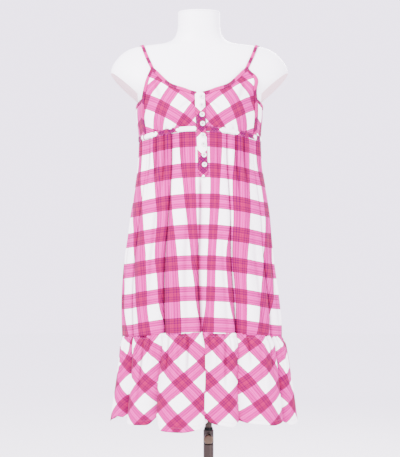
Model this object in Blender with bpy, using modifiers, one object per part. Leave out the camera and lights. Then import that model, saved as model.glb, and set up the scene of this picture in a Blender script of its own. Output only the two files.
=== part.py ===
"""An a-line sundress with a gathered flounce, worn by a limbless dress form on an adjustable stand.

Metres, +Z up. The dress's front faces -Y, and the stand's pole is the Z axis.
Cloth pieces are thin walls on rings worked out from the tables below, and stay clear of the form.
"""

import math
from collections import namedtuple

import bmesh
import bpy
from mathutils import Matrix, Vector

COLLECTION = "a_line_dress"

# Cloth and trim
CLOTH = 0.0012
TRIM = 0.0014
GAP = 0.0003
CLEARANCE = 0.0046
UNDERBUST_GAP = 0.0009
SURFACE_BLEND = 0.005
CUP_COLUMNS = 11
CUP_ROWS = 7
BACK_COLUMNS = 26
BACK_ROWS = 3
PLACKET_ROWS = 18
PLACKET_SAMPLES = 8
BAND_HEIGHT = 0.011
BAND_COLUMNS = 12
BINDING_WIDTH = 0.008
BINDING_START = 0.125
STRAP_WIDTH = 0.008
STRAP_THICKNESS = 0.0015
STRAP_STEPS = 24
STRAP_OVERLAP = 0.008
STRAP_TOP_X = 0.143
STRAP_SEAT = 0.0013
STRAP_FRONT_LIFT = 0.0017
STRAP_BACK_LIFT = 0.0023
STRAP_RISE = 0.16
STRAP_INSET = 0.65
STRAP_TILT = 0.25
STRAP_SEARCH = 0.2
STRAP_SEARCH_STEPS = 40
SHOULDER_CORE = 1.335
PLACKET_WIDTH = 0.0215
PLACKET_THICKNESS = 0.0018
PLACKET_BOTTOM = 1.1125
PLACKET_POINT = 0.011
PLACKET_TIP = 0.0008
PLACKET_START = 0.0007
PLACKET_LEAN = 0.0063

# Buttons
BUTTON_RADIUS = 0.0057
BUTTON_THICKNESS = 0.0026
BUTTON_OFFSET = 0.0039
BUTTON_STEPS = 12
# From the middle of its face round its rim to its back, in shares of the radius and thickness
BUTTON_PROFILE = [(0, 0.6), (0.62, 0.6), (0.78, 1), (0.95, 0.9), (1, 0.5), (0.85, 0), (0, 0)]
BUTTON_HEIGHTS = (1.2965, 1.2769, 1.2557, 1.2353, 1.2086, 1.1886, 1.1635, 1.1410)

# Seams, as azimuths in degrees: 0 is the centre front, 90 the wearer's left side (+X)
SIDE_SEAM = 63.0
SKIRT_SEAM_LEFT = -90.0
SKIRT_SEAM_RIGHT = 88.0
SEAM_HALF_ANGLE = 0.07

# Heights that shape the dress
BAND_TOP_SIDE = 1.212
BAND_ARCH = 0.0175
SKIRT_BOTTOM = 0.736
SKIRT_ARCH = 0.018
HEM_HEIGHT = 0.537
HEM_RISE = 0.022

# How round a ring is: 2 is an ellipse, more is squarer
ROUNDNESS = 2.3

# Rings by height: the centre's x, half the width, and the reach to the front and back
Ring = namedtuple("Ring", "height centre half front back")
DRESS = [
    Ring(1.371, -0.0216, 0.1239, 0.085, 0.086),
    Ring(1.334, -0.0216, 0.1372, 0.108, 0.100),
    Ring(1.300, -0.0216, 0.1480, 0.121, 0.104),
    Ring(1.262, -0.0216, 0.1500, 0.126, 0.101),
    Ring(1.225, -0.0210, 0.1465, 0.121, 0.095),
    Ring(1.200, -0.0205, 0.1455, 0.118, 0.094),
    Ring(1.144, -0.0200, 0.1478, 0.120, 0.100),
    Ring(1.086, -0.0195, 0.1565, 0.124, 0.108),
    Ring(1.029, -0.0198, 0.1655, 0.128, 0.116),
    Ring(0.971, -0.0212, 0.1715, 0.131, 0.124),
    Ring(0.914, -0.0225, 0.1780, 0.133, 0.130),
    Ring(0.827, -0.0195, 0.1860, 0.135, 0.136),
    Ring(0.770, -0.0165, 0.1880, 0.136, 0.138),
    Ring(0.730, -0.0155, 0.1870, 0.136, 0.138),
]
FLOUNCE = [
    Ring(0.760, -0.0155, 0.1870, 0.136, 0.138),
    Ring(0.736, -0.0155, 0.1870, 0.136, 0.138),
    Ring(0.718, -0.0130, 0.1925, 0.140, 0.142),
    Ring(0.690, -0.0115, 0.1950, 0.141, 0.144),
    Ring(0.640, -0.0100, 0.1985, 0.141, 0.145),
    Ring(0.590, -0.0095, 0.2030, 0.142, 0.147),
    Ring(0.530, -0.0095, 0.2080, 0.143, 0.149),
]
FORM = [
    Ring(0.6620, -0.0080, 0.0600, 0.0520, 0.0520),
    Ring(0.6640, -0.0080, 0.0900, 0.0760, 0.0780),
    Ring(0.6740, -0.0090, 0.1220, 0.0950, 0.0980),
    Ring(0.7000, -0.0100, 0.1420, 0.1060, 0.1110),
    Ring(0.7600, -0.0130, 0.1540, 0.1120, 0.1200),
    Ring(0.8500, -0.0170, 0.1580, 0.1130, 0.1230),
    Ring(0.9500, -0.0200, 0.1480, 0.1060, 0.1150),
    Ring(1.0600, -0.0205, 0.1240, 0.0900, 0.0870),
    Ring(1.1500, -0.0205, 0.1270, 0.0940, 0.0820),
    Ring(1.2200, -0.0210, 0.1385, 0.1060, 0.0890),
    Ring(1.2620, -0.0216, 0.1445, 0.1130, 0.0950),
    Ring(1.2800, -0.0216, 0.1450, 0.1145, 0.0975),
    Ring(1.2900, -0.0216, 0.1470, 0.1145, 0.0980),
    Ring(1.3000, -0.0216, 0.1550, 0.1140, 0.0985),
    Ring(1.3100, -0.0216, 0.1670, 0.1120, 0.0985),
    Ring(1.3200, -0.0216, 0.1800, 0.1090, 0.0980),
    Ring(1.3350, -0.0216, 0.1970, 0.1030, 0.0970),
    Ring(1.3500, -0.0216, 0.2080, 0.0960, 0.0945),
    Ring(1.3640, -0.0218, 0.2120, 0.0890, 0.0915),
    Ring(1.3790, -0.0220, 0.2095, 0.0810, 0.0880),
    Ring(1.3910, -0.0222, 0.2030, 0.0740, 0.0845),
    Ring(1.4020, -0.0223, 0.1945, 0.0680, 0.0815),
    Ring(1.4120, -0.0224, 0.1840, 0.0620, 0.0780),
    Ring(1.4200, -0.0225, 0.1720, 0.0575, 0.0750),
    Ring(1.4260, -0.0226, 0.1560, 0.0545, 0.0720),
    Ring(1.4300, -0.0227, 0.1320, 0.0525, 0.0690),
    Ring(1.4330, -0.0228, 0.1040, 0.0510, 0.0670),
    Ring(1.4375, -0.0228, 0.0800, 0.0500, 0.0640),
    Ring(1.4450, -0.0228, 0.0645, 0.0490, 0.0600),
    Ring(1.4560, -0.0228, 0.0560, 0.0485, 0.0560),
    Ring(1.4720, -0.0228, 0.0512, 0.0490, 0.0520),
    Ring(1.4900, -0.0228, 0.0505, 0.0495, 0.0505),
    Ring(1.5080, -0.0228, 0.0505, 0.0500, 0.0500),
]
FORM_POINTS = 36
NECK_CAP_HEIGHT = 0.004
# The cap's edge, as shares of its height and of the neck's size
NECK_CAP_PROFILE = [(0.0, 1.0), (0.6, 1.0), (1.0, 0.96)]

# Where the shoulders are cut off: a slanted plane, and the chest's own side below it
CUT_INNER = 0.1476
CUT_INNER_HEIGHT = 1.300
CUT_SLOPE = 0.98
CUT_TILT = 0.20
CHEST_SIDE = 0.1455

# The bust, on the form and in the cups
BUST_SPREAD = 0.066
BUST_HEIGHT = 1.262
BUST_DEPTH = 0.010
BUST_RADIUS = 0.038

# The cups' top edge: how far out from the centre (1 at the strap), and the height there
Edge = namedtuple("Edge", "along height")
NECKLINE = [
    Edge(0.000, 1.3065),
    Edge(0.165, 1.3120),
    Edge(0.275, 1.3175),
    Edge(0.528, 1.3290),
    Edge(0.690, 1.3440),
    Edge(0.865, 1.3610),
    Edge(1.000, 1.3710),
]
# The back's top edge by azimuth in degrees
BACK_EDGE = [
    Edge(63.0, 1.2970),
    Edge(75.0, 1.2905),
    Edge(90.0, 1.2860),
    Edge(110.0, 1.2870),
    Edge(145.0, 1.3020),
    Edge(180.0, 1.3000),
]

# Folds: the azimuth of each inward crease, and how far the cloth bulges out after it
Fold = namedtuple("Fold", "azimuth skirt flounce")
FOLDS = [
    Fold(-90.0, 0.006, 0.022),
    Fold(-59.0, 0.008, 0.022),
    Fold(-29.0, 0.011, 0.027),
    Fold(-2.0, 0.010, 0.024),
    Fold(21.0, 0.011, 0.024),
    Fold(58.0, 0.007, 0.020),
    Fold(88.0, 0.006, 0.022),
    Fold(118.0, 0.008, 0.022),
    Fold(146.0, 0.009, 0.025),
    Fold(173.0, 0.010, 0.023),
    Fold(203.0, 0.009, 0.026),
    Fold(238.0, 0.007, 0.022),
]
FULL_TURN = 360.0
SHARP_ANGLE = 40.0
MERGE_DISTANCE = 0.00001
STRAP_BACK = BACK_EDGE[4]
FOLD_SHARPNESS = 0.8
SKIRT_COLUMNS = 8
SKIRT_ROWS = 8
SKIRT_GATHERS = 2
FLOUNCE_COLUMNS = 12
FLOUNCE_ROWS = 6
FLOUNCE_GATHERS = 3
ROW_SPREAD = 1.25
# How early the folds open out down the skirt and the flounce: under 1 is early
SKIRT_SPREAD = 1.3
FLOUNCE_SPREAD = 0.8
GATHER_DEPTH = 0.0022
SKIRT_GATHER_LENGTH = 0.060
FLOUNCE_GATHER_LENGTH = 0.035

# The stand
BEVEL = 0.001
ROUND_STEPS = 32
TUBE_STEPS = 24
HOLE_STEPS = 16
KNOB_STEPS = 22
BASE_STEPS = 40
ROD_RADIUS = 0.0085
ROD_BOTTOM = 0.160
FLANGE_RADIUS = 0.042
FLANGE_THICKNESS = 0.006
TUBE_RADIUS = 0.0125
TUBE_BORE = 0.0091
COLLAR_BOTTOM = 0.478
COLLAR_TOP = 0.5115
BUSH_RADIUS = 0.0106
BUSH_TOP = 0.5175
KNOB_HEIGHT = 0.4925
KNOB_RADIUS = 0.0120
KNOB_LENGTH = 0.013
KNOB_FRONT = -0.0155
# From the middle of its face to its neck, in shares of the radius and length
KNOB_PROFILE = [(0, 1), (0.75, 1), (0.96, 0.91), (1, 0.77), (1, 0.15), (0.9, 0.03), (0.45, 0)]
SCREW_RADIUS = 0.0028
SCREW_HOLE = 0.0032
SCREW_TIP = -0.0090
SCREW_POINT = 0.0006
BASE_RADIUS = 0.165
BASE_THICKNESS = 0.012
BASE_EDGE = 0.005
BASE_ROUND = 0.002
BASE_CROWN = 0.3

Finish = namedtuple("Finish", "colour roughness metallic")
FINISHES = {
    "plaid_cotton": Finish((0.93, 0.30, 0.55), 0.90, 0.0),
    "plaid_trim": Finish((0.90, 0.22, 0.50), 0.90, 0.0),
    "button_shell": Finish((0.90, 0.88, 0.88), 0.30, 0.0),
    "form_plastic": Finish((0.92, 0.92, 0.93), 0.45, 0.0),
    "metal": Finish((0.60, 0.59, 0.57), 0.30, 1.0),
    "black_rubber": Finish((0.03, 0.03, 0.03), 0.60, 0.0),
}


# --- Reading the tables -------------------------------------------------------------------------


def smooth_read(rows, key, name, where):
    """The value of one column at a place between rows, on a smooth curve through them."""
    rows = sorted(rows, key=lambda row: getattr(row, key))
    places = [getattr(row, key) for row in rows]
    values = [getattr(row, name) for row in rows]
    if where <= places[0]:
        return values[0]
    if where >= places[-1]:
        return values[-1]
    i = max(k for k in range(len(places) - 1) if places[k] <= where)

    def slope(k):
        low, high = max(k - 1, 0), min(k + 1, len(places) - 1)
        return (values[high] - values[low]) / (places[high] - places[low])

    span = places[i + 1] - places[i]
    t = (where - places[i]) / span
    start = (2 * t**3 - 3 * t**2 + 1) * values[i] + (t**3 - 2 * t**2 + t) * span * slope(i)
    end = (3 * t**2 - 2 * t**3) * values[i + 1] + (t**3 - t**2) * span * slope(i + 1)
    return start + end


def ring_at(rows, height):
    """The ring at a height between the table's rows."""
    return Ring(height, *(smooth_read(rows, "height", name, height) for name in Ring._fields[1:]))


def reach(ring, x, facing):
    """How far a ring reaches to the front (-1) or back (+1) at a distance x from its centre."""
    depth = ring.front if facing < 0 else ring.back
    inside = max(1.0 - (min(abs(x) / ring.half, 1.0)) ** ROUNDNESS, 0.0)
    return depth * inside ** (1.0 / ROUNDNESS)


def ring_point(ring, azimuth):
    """The point on a ring at an azimuth in degrees, as (x from its centre, y)."""
    turn = math.radians(azimuth)
    across, along = math.sin(turn), math.cos(turn)
    x = ring.half * math.copysign(abs(across) ** (2.0 / ROUNDNESS), across)
    depth = ring.front if along > 0 else ring.back
    y = -depth * math.copysign(abs(along) ** (2.0 / ROUNDNESS), along)
    return x, y


def bust(x, height):
    """How far the bust stands out at a distance x from the centre."""
    spread = sum(
        math.exp(-((x - side * BUST_SPREAD) ** 2) / (2 * BUST_RADIUS**2)) for side in (-1, 1)
    )
    return BUST_DEPTH * spread * math.exp(-((height - BUST_HEIGHT) ** 2) / (2 * BUST_RADIUS**2))


def soft_max(a, b):
    """The larger of two lengths, rounded where they cross."""
    return (a + b + math.sqrt((a - b) ** 2 + SURFACE_BLEND**2)) / 2


# --- The dress's surfaces -----------------------------------------------------------------------


def front_reach(x, height):
    """How far the bodice's cloth reaches forward at x from the centre, clear of the form."""
    form = reach(ring_at(FORM, height), x, -1) + CLEARANCE
    return soft_max(reach(ring_at(DRESS, height), x, -1), form) + bust(x, height)


def bodice_point(azimuth, height):
    """A point on the dress's ring at an azimuth, moved out where the bust and shoulders need it."""
    ring = ring_at(DRESS, height)
    x, y = ring_point(ring, azimuth)
    if y < 0:
        extra = front_reach(x, height) + y
    else:
        form = reach(ring_at(FORM, height), x, 1) + CLEARANCE
        extra = soft_max(y, form) - y
    from_side = abs(math.cos(math.radians(azimuth))) / math.cos(math.radians(SIDE_SEAM))
    y += math.copysign(extra * min(from_side, 1.0), y)
    return Vector((ring.centre + x, y, height))


def band_top(azimuth):
    """The height of the empire band's top edge, which arches up at the centre front."""
    return BAND_TOP_SIDE + BAND_ARCH * max(math.cos(math.radians(azimuth)), 0.0) ** 3


def cup_at(side, along, height):
    """A point of a cup at a height: along is 0 at the centre and 1 at the side seam."""
    ring = ring_at(DRESS, height)
    x = max(along * (ring_point(ring, SIDE_SEAM)[0] - GAP), GAP)
    return Vector((ring.centre + side * x, -front_reach(x, height), height))


def cup_azimuth(along):
    """The azimuth in degrees of a line down a cup."""
    share = along * math.sin(math.radians(SIDE_SEAM)) ** (2.0 / ROUNDNESS)
    return math.degrees(math.asin(share ** (ROUNDNESS / 2.0)))


def fold_lobe(azimuth):
    """Which fold an azimuth is in, and the share of the way across it."""
    wrapped = (azimuth - FOLDS[0].azimuth) % FULL_TURN + FOLDS[0].azimuth
    for i, fold in enumerate(FOLDS):
        end = FOLDS[i + 1].azimuth if i + 1 < len(FOLDS) else FOLDS[0].azimuth + FULL_TURN
        if wrapped < end:
            return fold, (wrapped - fold.azimuth) / (end - fold.azimuth)
    return FOLDS[0], 0.0


def crown(share):
    """The rounded rise of a fold between its two creases, 0 to 1."""
    return math.sin(math.pi * min(max(share, 0.0), 1.0)) ** FOLD_SHARPNESS


def push_out(ring, x, y, distance):
    """A ring's point moved straight out from the ring."""
    depth = ring.front if y < 0 else ring.back
    out = Vector((x / ring.half**2, y / depth**2))
    out.normalize()
    return x + out.x * distance, y + out.y * distance


def arch(azimuth):
    """How much the cloth's grain rises towards the centre front, 0 to 1."""
    return max(math.cos(math.radians(azimuth)), 0.0) ** 2


def skirt_point(azimuth, down):
    """A point of the skirt: down is 0 at the band and 1 at the flounce's seam."""
    top = band_top(azimuth) - BAND_HEIGHT - UNDERBUST_GAP
    bottom = SKIRT_BOTTOM + SKIRT_ARCH * arch(azimuth)
    height = top + (bottom - top) * down
    ring = ring_at(DRESS, height)
    x, y = (bodice_point(azimuth, height) - Vector((ring.centre, 0.0, 0.0))).xy
    fold, share = fold_lobe(azimuth)
    bulge = fold.skirt * crown(share) * down**SKIRT_SPREAD
    fallen = (top - height) / SKIRT_GATHER_LENGTH
    flat_middle = max(min(abs(x) / PLACKET_WIDTH - 1.0, 1.0), 0.0) if y < 0 else 1.0
    ripple = 0.5 - 0.5 * math.cos(2 * math.pi * SKIRT_GATHERS * share)
    gather = GATHER_DEPTH * ripple * math.exp(-fallen) * flat_middle
    x, y = push_out(ring, x, y, bulge + gather)
    return Vector((ring.centre + x, y, height))


def flounce_point(azimuth, down):
    """A point of the flounce: down is 0 at its seam and 1 at the hem."""
    fold, share = fold_lobe(azimuth)
    round_share = crown(share)
    top = SKIRT_BOTTOM + SKIRT_ARCH * arch(azimuth) - 2 * GAP
    bottom = HEM_HEIGHT + HEM_RISE * (1.0 - round_share)
    height = top + (bottom - top) * down
    level = SKIRT_BOTTOM + (height - top)
    ring = ring_at(FLOUNCE, min(level, FLOUNCE[0].height))
    x, y = ring_point(ring, azimuth)
    spread = down**FLOUNCE_SPREAD
    bulge = (fold.skirt + (fold.flounce - fold.skirt) * spread) * round_share
    fallen = (top - height) / FLOUNCE_GATHER_LENGTH
    ripple = 0.5 - 0.5 * math.cos(2 * math.pi * FLOUNCE_GATHERS * share)
    gather = GATHER_DEPTH * ripple * math.exp(-fallen)
    x, y = push_out(ring, x, y, bulge + gather)
    return Vector((ring.centre + x, y, height))


# --- Making solids ------------------------------------------------------------------------------


def start_scene():
    """An empty scene with the part's collection, one for cutters, and the materials."""
    for old in list(bpy.data.objects):
        bpy.data.objects.remove(old, do_unlink=True)
    for name in (COLLECTION, "cutters"):
        bpy.context.scene.collection.children.link(bpy.data.collections.new(name))
    for name, finish in FINISHES.items():
        material = bpy.data.materials.new(name)
        material.use_nodes = True
        shader = material.node_tree.nodes["Principled BSDF"]
        shader.inputs["Base Color"].default_value = (*finish.colour, 1.0)
        shader.inputs["Roughness"].default_value = finish.roughness
        shader.inputs["Metallic"].default_value = finish.metallic


def add_object(name, mesh, material):
    """A new object in the part's collection, wearing one of the materials."""
    part = bpy.data.objects.new(name, mesh)
    bpy.data.collections[COLLECTION].objects.link(part)
    mesh.materials.append(bpy.data.materials[material])
    return part


def grid_mesh(name, points):
    """An open sheet through rows of points, facing out."""
    mesh = bpy.data.meshes.new(name)
    sheet = bmesh.new()
    rows = [[sheet.verts.new(point) for point in row] for row in points]
    for upper, lower in zip(rows, rows[1:]):
        for i in range(len(upper) - 1):
            sheet.faces.new((upper[i], lower[i], lower[i + 1], upper[i + 1]))
    sheet.to_mesh(mesh)
    sheet.free()
    mesh.shade_smooth()
    return mesh


def cloth(name, points, thickness=CLOTH, material="plaid_cotton", offset=1.0):
    """A cloth piece: a sheet through rows of points, made a wall outside them, or inside for -1."""
    piece = add_object(name, grid_mesh(name, points), material)
    wall = piece.modifiers.new("wall", "SOLIDIFY")
    wall.thickness = thickness
    wall.offset = offset
    wall.use_even_offset = False
    return piece


def moved_out(points, distance):
    """A panel's rows of points, each moved out along the panel's normal there."""
    rows, columns = len(points), len(points[0])
    moved = []
    for r in range(rows):
        row = []
        for c in range(columns):
            down = points[min(r + 1, rows - 1)][c] - points[max(r - 1, 0)][c]
            along = points[r][min(c + 1, columns - 1)] - points[r][max(c - 1, 0)]
            row.append(points[r][c] + down.cross(along).normalized() * distance)
        moved.append(row)
    return moved


def span(start, end, steps):
    """Evenly spaced numbers from start to end, both included."""
    return [start + (end - start) * i / steps for i in range(steps + 1)]


def loft(name, rings, material):
    """A closed solid through rings of points, with a flat cap at each end."""
    mesh = bpy.data.meshes.new(name)
    solid = bmesh.new()
    loops = [[solid.verts.new(point) for point in ring] for ring in rings]
    count = len(loops[0])
    for low, high in zip(loops, loops[1:]):
        for i in range(count):
            j = (i + 1) % count
            solid.faces.new((low[i], low[j], high[j], high[i]))
    solid.faces.new(list(reversed(loops[0])))
    solid.faces.new(loops[-1])
    bmesh.ops.recalc_face_normals(solid, faces=solid.faces)
    solid.to_mesh(mesh)
    solid.free()
    mesh.shade_smooth()
    mesh.set_sharp_from_angle(angle=math.radians(SHARP_ANGLE))
    return add_object(name, mesh, material)


def turned(name, profile, material, steps=ROUND_STEPS, place=(0, 0, 0), turn=None):
    """A solid turned about its own Z axis from a profile of (radius, height), top to bottom."""
    mesh = bpy.data.meshes.new(name)
    outline = bmesh.new()
    points = [outline.verts.new((radius, 0.0, height)) for radius, height in profile]
    closed = profile[0][0] > 0
    for i in range(len(points) - (0 if closed else 1)):
        outline.edges.new((points[i], points[(i + 1) % len(points)]))
    outline.to_mesh(mesh)
    outline.free()
    part = add_object(name, mesh, material)
    screw = part.modifiers.new("turn", "SCREW")
    screw.steps = steps
    screw.render_steps = steps
    screw.use_merge_vertices = True
    screw.merge_threshold = MERGE_DISTANCE
    screw.use_smooth_shade = False
    part.location = place
    if turn:
        part.rotation_euler = turn
    return part


# --- The pieces ---------------------------------------------------------------------------------


def cup_grid(side):
    """A cup's rows of points: its first row and last column are as wide as the bindings on them."""
    edge = 1.0 - BINDING_WIDTH / ring_at(DRESS, BUST_HEIGHT).half
    alongs = [0.0] + span(BINDING_START, edge, CUP_COLUMNS) + [1.0]
    rows = [[] for _ in range(CUP_ROWS + 2)]
    for along in alongs:
        top = smooth_read(NECKLINE, "along", "height", along)
        low = band_top(cup_azimuth(along)) + UNDERBUST_GAP
        heights = [top] + span(top - BINDING_WIDTH, low, CUP_ROWS)
        for row, height in zip(rows, heights):
            row.append(cup_at(side, along, height))
    return rows if side > 0 else [row[::-1] for row in rows]


def make_cups():
    """The two cups, and the bindings along their necklines and outer edges."""
    for side, word in ((-1, "left"), (1, "right")):
        grid = cup_grid(side)
        cloth(f"cup_{word}", grid)
        outer = moved_out(grid, CLOTH + GAP)
        neck = [row[1:] if side > 0 else row[:-1] for row in outer[:2]]
        cloth(f"neck_binding_{word}", neck, TRIM, "plaid_trim")
        edge = [row[-2:] if side > 0 else row[:2] for row in outer[1:]]
        step = 3 * GAP / (edge[0][0] - edge[1][0]).length
        edge[0] = [high.lerp(low, step) for high, low in zip(edge[0], edge[1])]
        step = UNDERBUST_GAP / (edge[-1][0] - edge[-2][0]).length
        edge[-1] = [low.lerp(high, step) for high, low in zip(edge[-2], edge[-1])]
        cloth(f"armhole_binding_{word}", edge, TRIM, "plaid_trim")


def back_top(azimuth):
    """The height of the back's top edge, the same on both sides."""
    return smooth_read(BACK_EDGE, "along", "height", min(azimuth, FULL_TURN - azimuth))


def make_back():
    """The back of the bodice, and the binding along its top edge."""
    seam = SIDE_SEAM + SEAM_HALF_ANGLE
    rows = [[] for _ in range(BACK_ROWS + 2)]
    for azimuth in span(seam, FULL_TURN - seam, BACK_COLUMNS):
        top = back_top(azimuth)
        heights = [top] + span(top - BINDING_WIDTH, band_top(azimuth) + GAP, BACK_ROWS)
        for row, height in zip(rows, heights):
            row.append(bodice_point(azimuth, height))
    cloth("bodice_back", rows)
    cloth("back_binding", moved_out(rows, CLOTH + GAP)[:2], TRIM, "plaid_trim")


def make_bands():
    """The narrow empire band under the bust, in three pieces."""
    seam, back_seam = SIDE_SEAM - SEAM_HALF_ANGLE, SIDE_SEAM + SEAM_HALF_ANGLE
    limits = {
        "band_front_left": (-seam, -SEAM_HALF_ANGLE, BAND_COLUMNS),
        "band_front_right": (SEAM_HALF_ANGLE, seam, BAND_COLUMNS),
        "band_back": (back_seam, FULL_TURN - back_seam, BACK_COLUMNS),
    }
    for name, (start, end, steps) in limits.items():
        azimuths = span(start, end, steps)
        rows = [
            [bodice_point(azimuth, band_top(azimuth) - drop) for azimuth in azimuths]
            for drop in (0.0, BAND_HEIGHT)
        ]
        cloth(name, rows, TRIM, "plaid_trim")


def placket_profile():
    """The placket's line down the dress: (height, reach), flat from side to side at each height."""
    profile = []
    heights = span(NECKLINE[0].height, PLACKET_BOTTOM + PLACKET_POINT, PLACKET_ROWS)
    for height in heights + [PLACKET_BOTTOM]:
        middle = placket_middle(height)
        across = span(middle - PLACKET_WIDTH / 2, middle + PLACKET_WIDTH / 2, PLACKET_SAMPLES)
        reaches = [centre_front(x, height) for x in across]
        profile.append((height, max(reaches) + TRIM + 2 * GAP))
    return profile


def placket_middle(height):
    """How far the placket's middle lies from the dress's centre: it leans a little."""
    share = (NECKLINE[0].height - height) / (NECKLINE[0].height - PLACKET_BOTTOM)
    return PLACKET_START + PLACKET_LEAN * share


def placket_point(profile, across, height):
    """A point on the placket's inner face, on the straight stretches of its profile."""
    height = max(min(height, profile[0][0]), profile[-1][0])
    for (high, near), (low, far) in zip(profile, profile[1:]):
        if height >= low:
            break
    y = near + (far - near) * (high - height) / (high - low)
    x = ring_at(DRESS, height).centre + placket_middle(height) + across
    return Vector((x, -y, height))


def centre_front(x, height):
    """How far the dress reaches forward near its centre: the bodice, then the skirt."""
    band_bottom = band_top(0) - BAND_HEIGHT - UNDERBUST_GAP
    if height > band_bottom:
        return front_reach(x, height)
    ring = ring_at(DRESS, height)
    share = math.copysign((abs(x) / ring.half) ** (ROUNDNESS / 2.0), x)
    azimuth = math.degrees(math.asin(share))
    down = (band_bottom - height) / (band_bottom - SKIRT_BOTTOM - SKIRT_ARCH)
    return -skirt_point(azimuth, down).y


def make_placket():
    """The placket down the centre front, ending in a point, and the buttons on it."""
    profile = placket_profile()
    rows = []
    for height, _ in profile:
        half = PLACKET_WIDTH / 2 if height > PLACKET_BOTTOM else PLACKET_TIP
        rows.append([placket_point(profile, across, height) for across in (-half, 0.0, half)])
    cloth("placket", rows, PLACKET_THICKNESS, "plaid_trim")
    for number, height in enumerate(BUTTON_HEIGHTS, 1):
        seat = placket_point(profile, BUTTON_OFFSET, height)
        under = [
            placket_point(profile, BUTTON_OFFSET, height + BUTTON_RADIUS * share)
            for share in span(1, -1, PLACKET_SAMPLES)
        ]
        out = Vector((1, 0, 0)).cross(under[0] - under[-1]).normalized()
        crest = max((point - seat).dot(out) for point in under)
        place = seat + out * (PLACKET_THICKNESS + 2 * GAP + crest)
        turn = Vector((0, 0, 1)).rotation_difference(out).to_euler()
        disc = [(BUTTON_RADIUS * wide, BUTTON_THICKNESS * high) for wide, high in BUTTON_PROFILE]
        turned(f"button_{number}", disc, "button_shell", BUTTON_STEPS, place, turn)


def strap_surface(x, angle):
    """Where a strap lies: the form's surface seen from inside the shoulder, at an angle over it."""
    inside = Vector((x, 0.0, SHOULDER_CORE))
    way = Vector((0.0, -math.cos(angle), math.sin(angle)))
    near, far = 0.0, STRAP_SEARCH
    for _ in range(STRAP_SEARCH_STEPS):
        middle = (near + far) / 2
        point = inside + way * middle
        ring = ring_at(FORM, point.z)
        from_centre = point.x - ring.centre
        within = abs(point.y) < reach(ring, from_centre, point.y)
        if within and abs(from_centre) < ring.half:
            near = middle
        else:
            far = middle
    return inside + way * near


def make_straps():
    """The two straps, sewn inside the cups' points and inside the back's top edge."""
    top_edge = NECKLINE[-1].height
    front_ring = ring_at(DRESS, top_edge)
    front_x = ring_point(front_ring, SIDE_SEAM)[0] - STRAP_WIDTH * STRAP_INSET
    back_ring = ring_at(DRESS, STRAP_BACK.height)
    back_x = ring_point(back_ring, STRAP_BACK.along)[0]
    front_drop = top_edge - STRAP_OVERLAP - SHOULDER_CORE
    start = math.atan2(front_drop, front_reach(front_x, top_edge - STRAP_OVERLAP))
    back_drop = STRAP_BACK.height - STRAP_OVERLAP - SHOULDER_CORE
    end = math.pi - math.atan2(back_drop, reach(back_ring, back_x, 1))
    for side, word in ((-1, "left"), (1, "right")):
        path = []
        for share in span(0, 1, STRAP_STEPS):
            low_x = front_x if share < 0.5 else back_x
            x = low_x + (STRAP_TOP_X - low_x) * math.sin(math.pi * share)
            path.append(strap_surface(front_ring.centre + side * x, start + (end - start) * share))
        ribbon(f"strap_{word}", path, side)


def strap_lift(share):
    """How far a strap stands off the form: little over the shoulder, more at its sewn ends."""
    front = max(1.0 - share / STRAP_RISE, 0.0)
    back = max(1.0 - (1.0 - share) / STRAP_RISE, 0.0)
    more = (STRAP_FRONT_LIFT - STRAP_SEAT) * front + (STRAP_BACK_LIFT - STRAP_SEAT) * back
    return STRAP_SEAT + more


def ribbon(name, path, side):
    """A flat strap swept along points on the form, standing a little off it."""
    sections = []
    for i, point in enumerate(path):
        ahead = (path[min(i + 1, len(path) - 1)] - path[max(i - 1, 0)]).normalized()
        share = i / (len(path) - 1)
        guess = Vector((STRAP_TILT * side, -math.cos(math.pi * share), math.sin(math.pi * share)))
        across = ahead.cross(guess).normalized()
        out = across.cross(ahead).normalized()
        low = point + out * strap_lift(share)
        high = low + out * STRAP_THICKNESS
        half = across * STRAP_WIDTH / 2
        sections.append([low - half, low + half, high + half, high - half])
    loft(name, sections, "plaid_trim")


def make_tube_of_cloth(name, point, start, end, per_fold, rows):
    """A panel between two side seams, with columns that meet each fold's crease."""
    azimuths = []
    creases = [fold.azimuth for fold in FOLDS] + [FOLDS[0].azimuth + FULL_TURN]
    for low, high in zip(creases, creases[1:]):
        if low >= start and high <= end:
            azimuths += span(low, high, per_fold)[:-1]
    azimuths.append(end)
    azimuths[0] += SEAM_HALF_ANGLE
    azimuths[-1] -= SEAM_HALF_ANGLE
    downs = [share**ROW_SPREAD for share in span(0, 1, rows)]
    sheet = [[point(azimuth, down) for azimuth in azimuths] for down in downs]
    return cloth(name, sheet, offset=-1.0)


def make_skirt():
    """The front and back panels of the skirt and of the flounce below it."""
    seams = {"front": (SKIRT_SEAM_LEFT, SKIRT_SEAM_RIGHT)}
    seams["back"] = (SKIRT_SEAM_RIGHT, SKIRT_SEAM_LEFT + FULL_TURN)
    for word, (start, end) in seams.items():
        make_tube_of_cloth(f"skirt_{word}", skirt_point, start, end, SKIRT_COLUMNS, SKIRT_ROWS)
        make_tube_of_cloth(
            f"flounce_{word}", flounce_point, start, end, FLOUNCE_COLUMNS, FLOUNCE_ROWS
        )


def form_ring(ring):
    """A ring of the form, with the slanted flat where the shoulder is cut off."""
    points = []
    for i in range(FORM_POINTS):
        x, y = ring_point(ring, FULL_TURN * i / FORM_POINTS)
        if y < 0:
            y -= bust(x, ring.height)
        plane = CUT_INNER + (ring.height - CUT_INNER_HEIGHT + CUT_TILT * y) / CUT_SLOPE
        limit = max(CHEST_SIDE, plane)
        x = max(-limit, min(limit, x))
        points.append(Vector((ring.centre + x, y, ring.height)))
    return points


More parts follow.
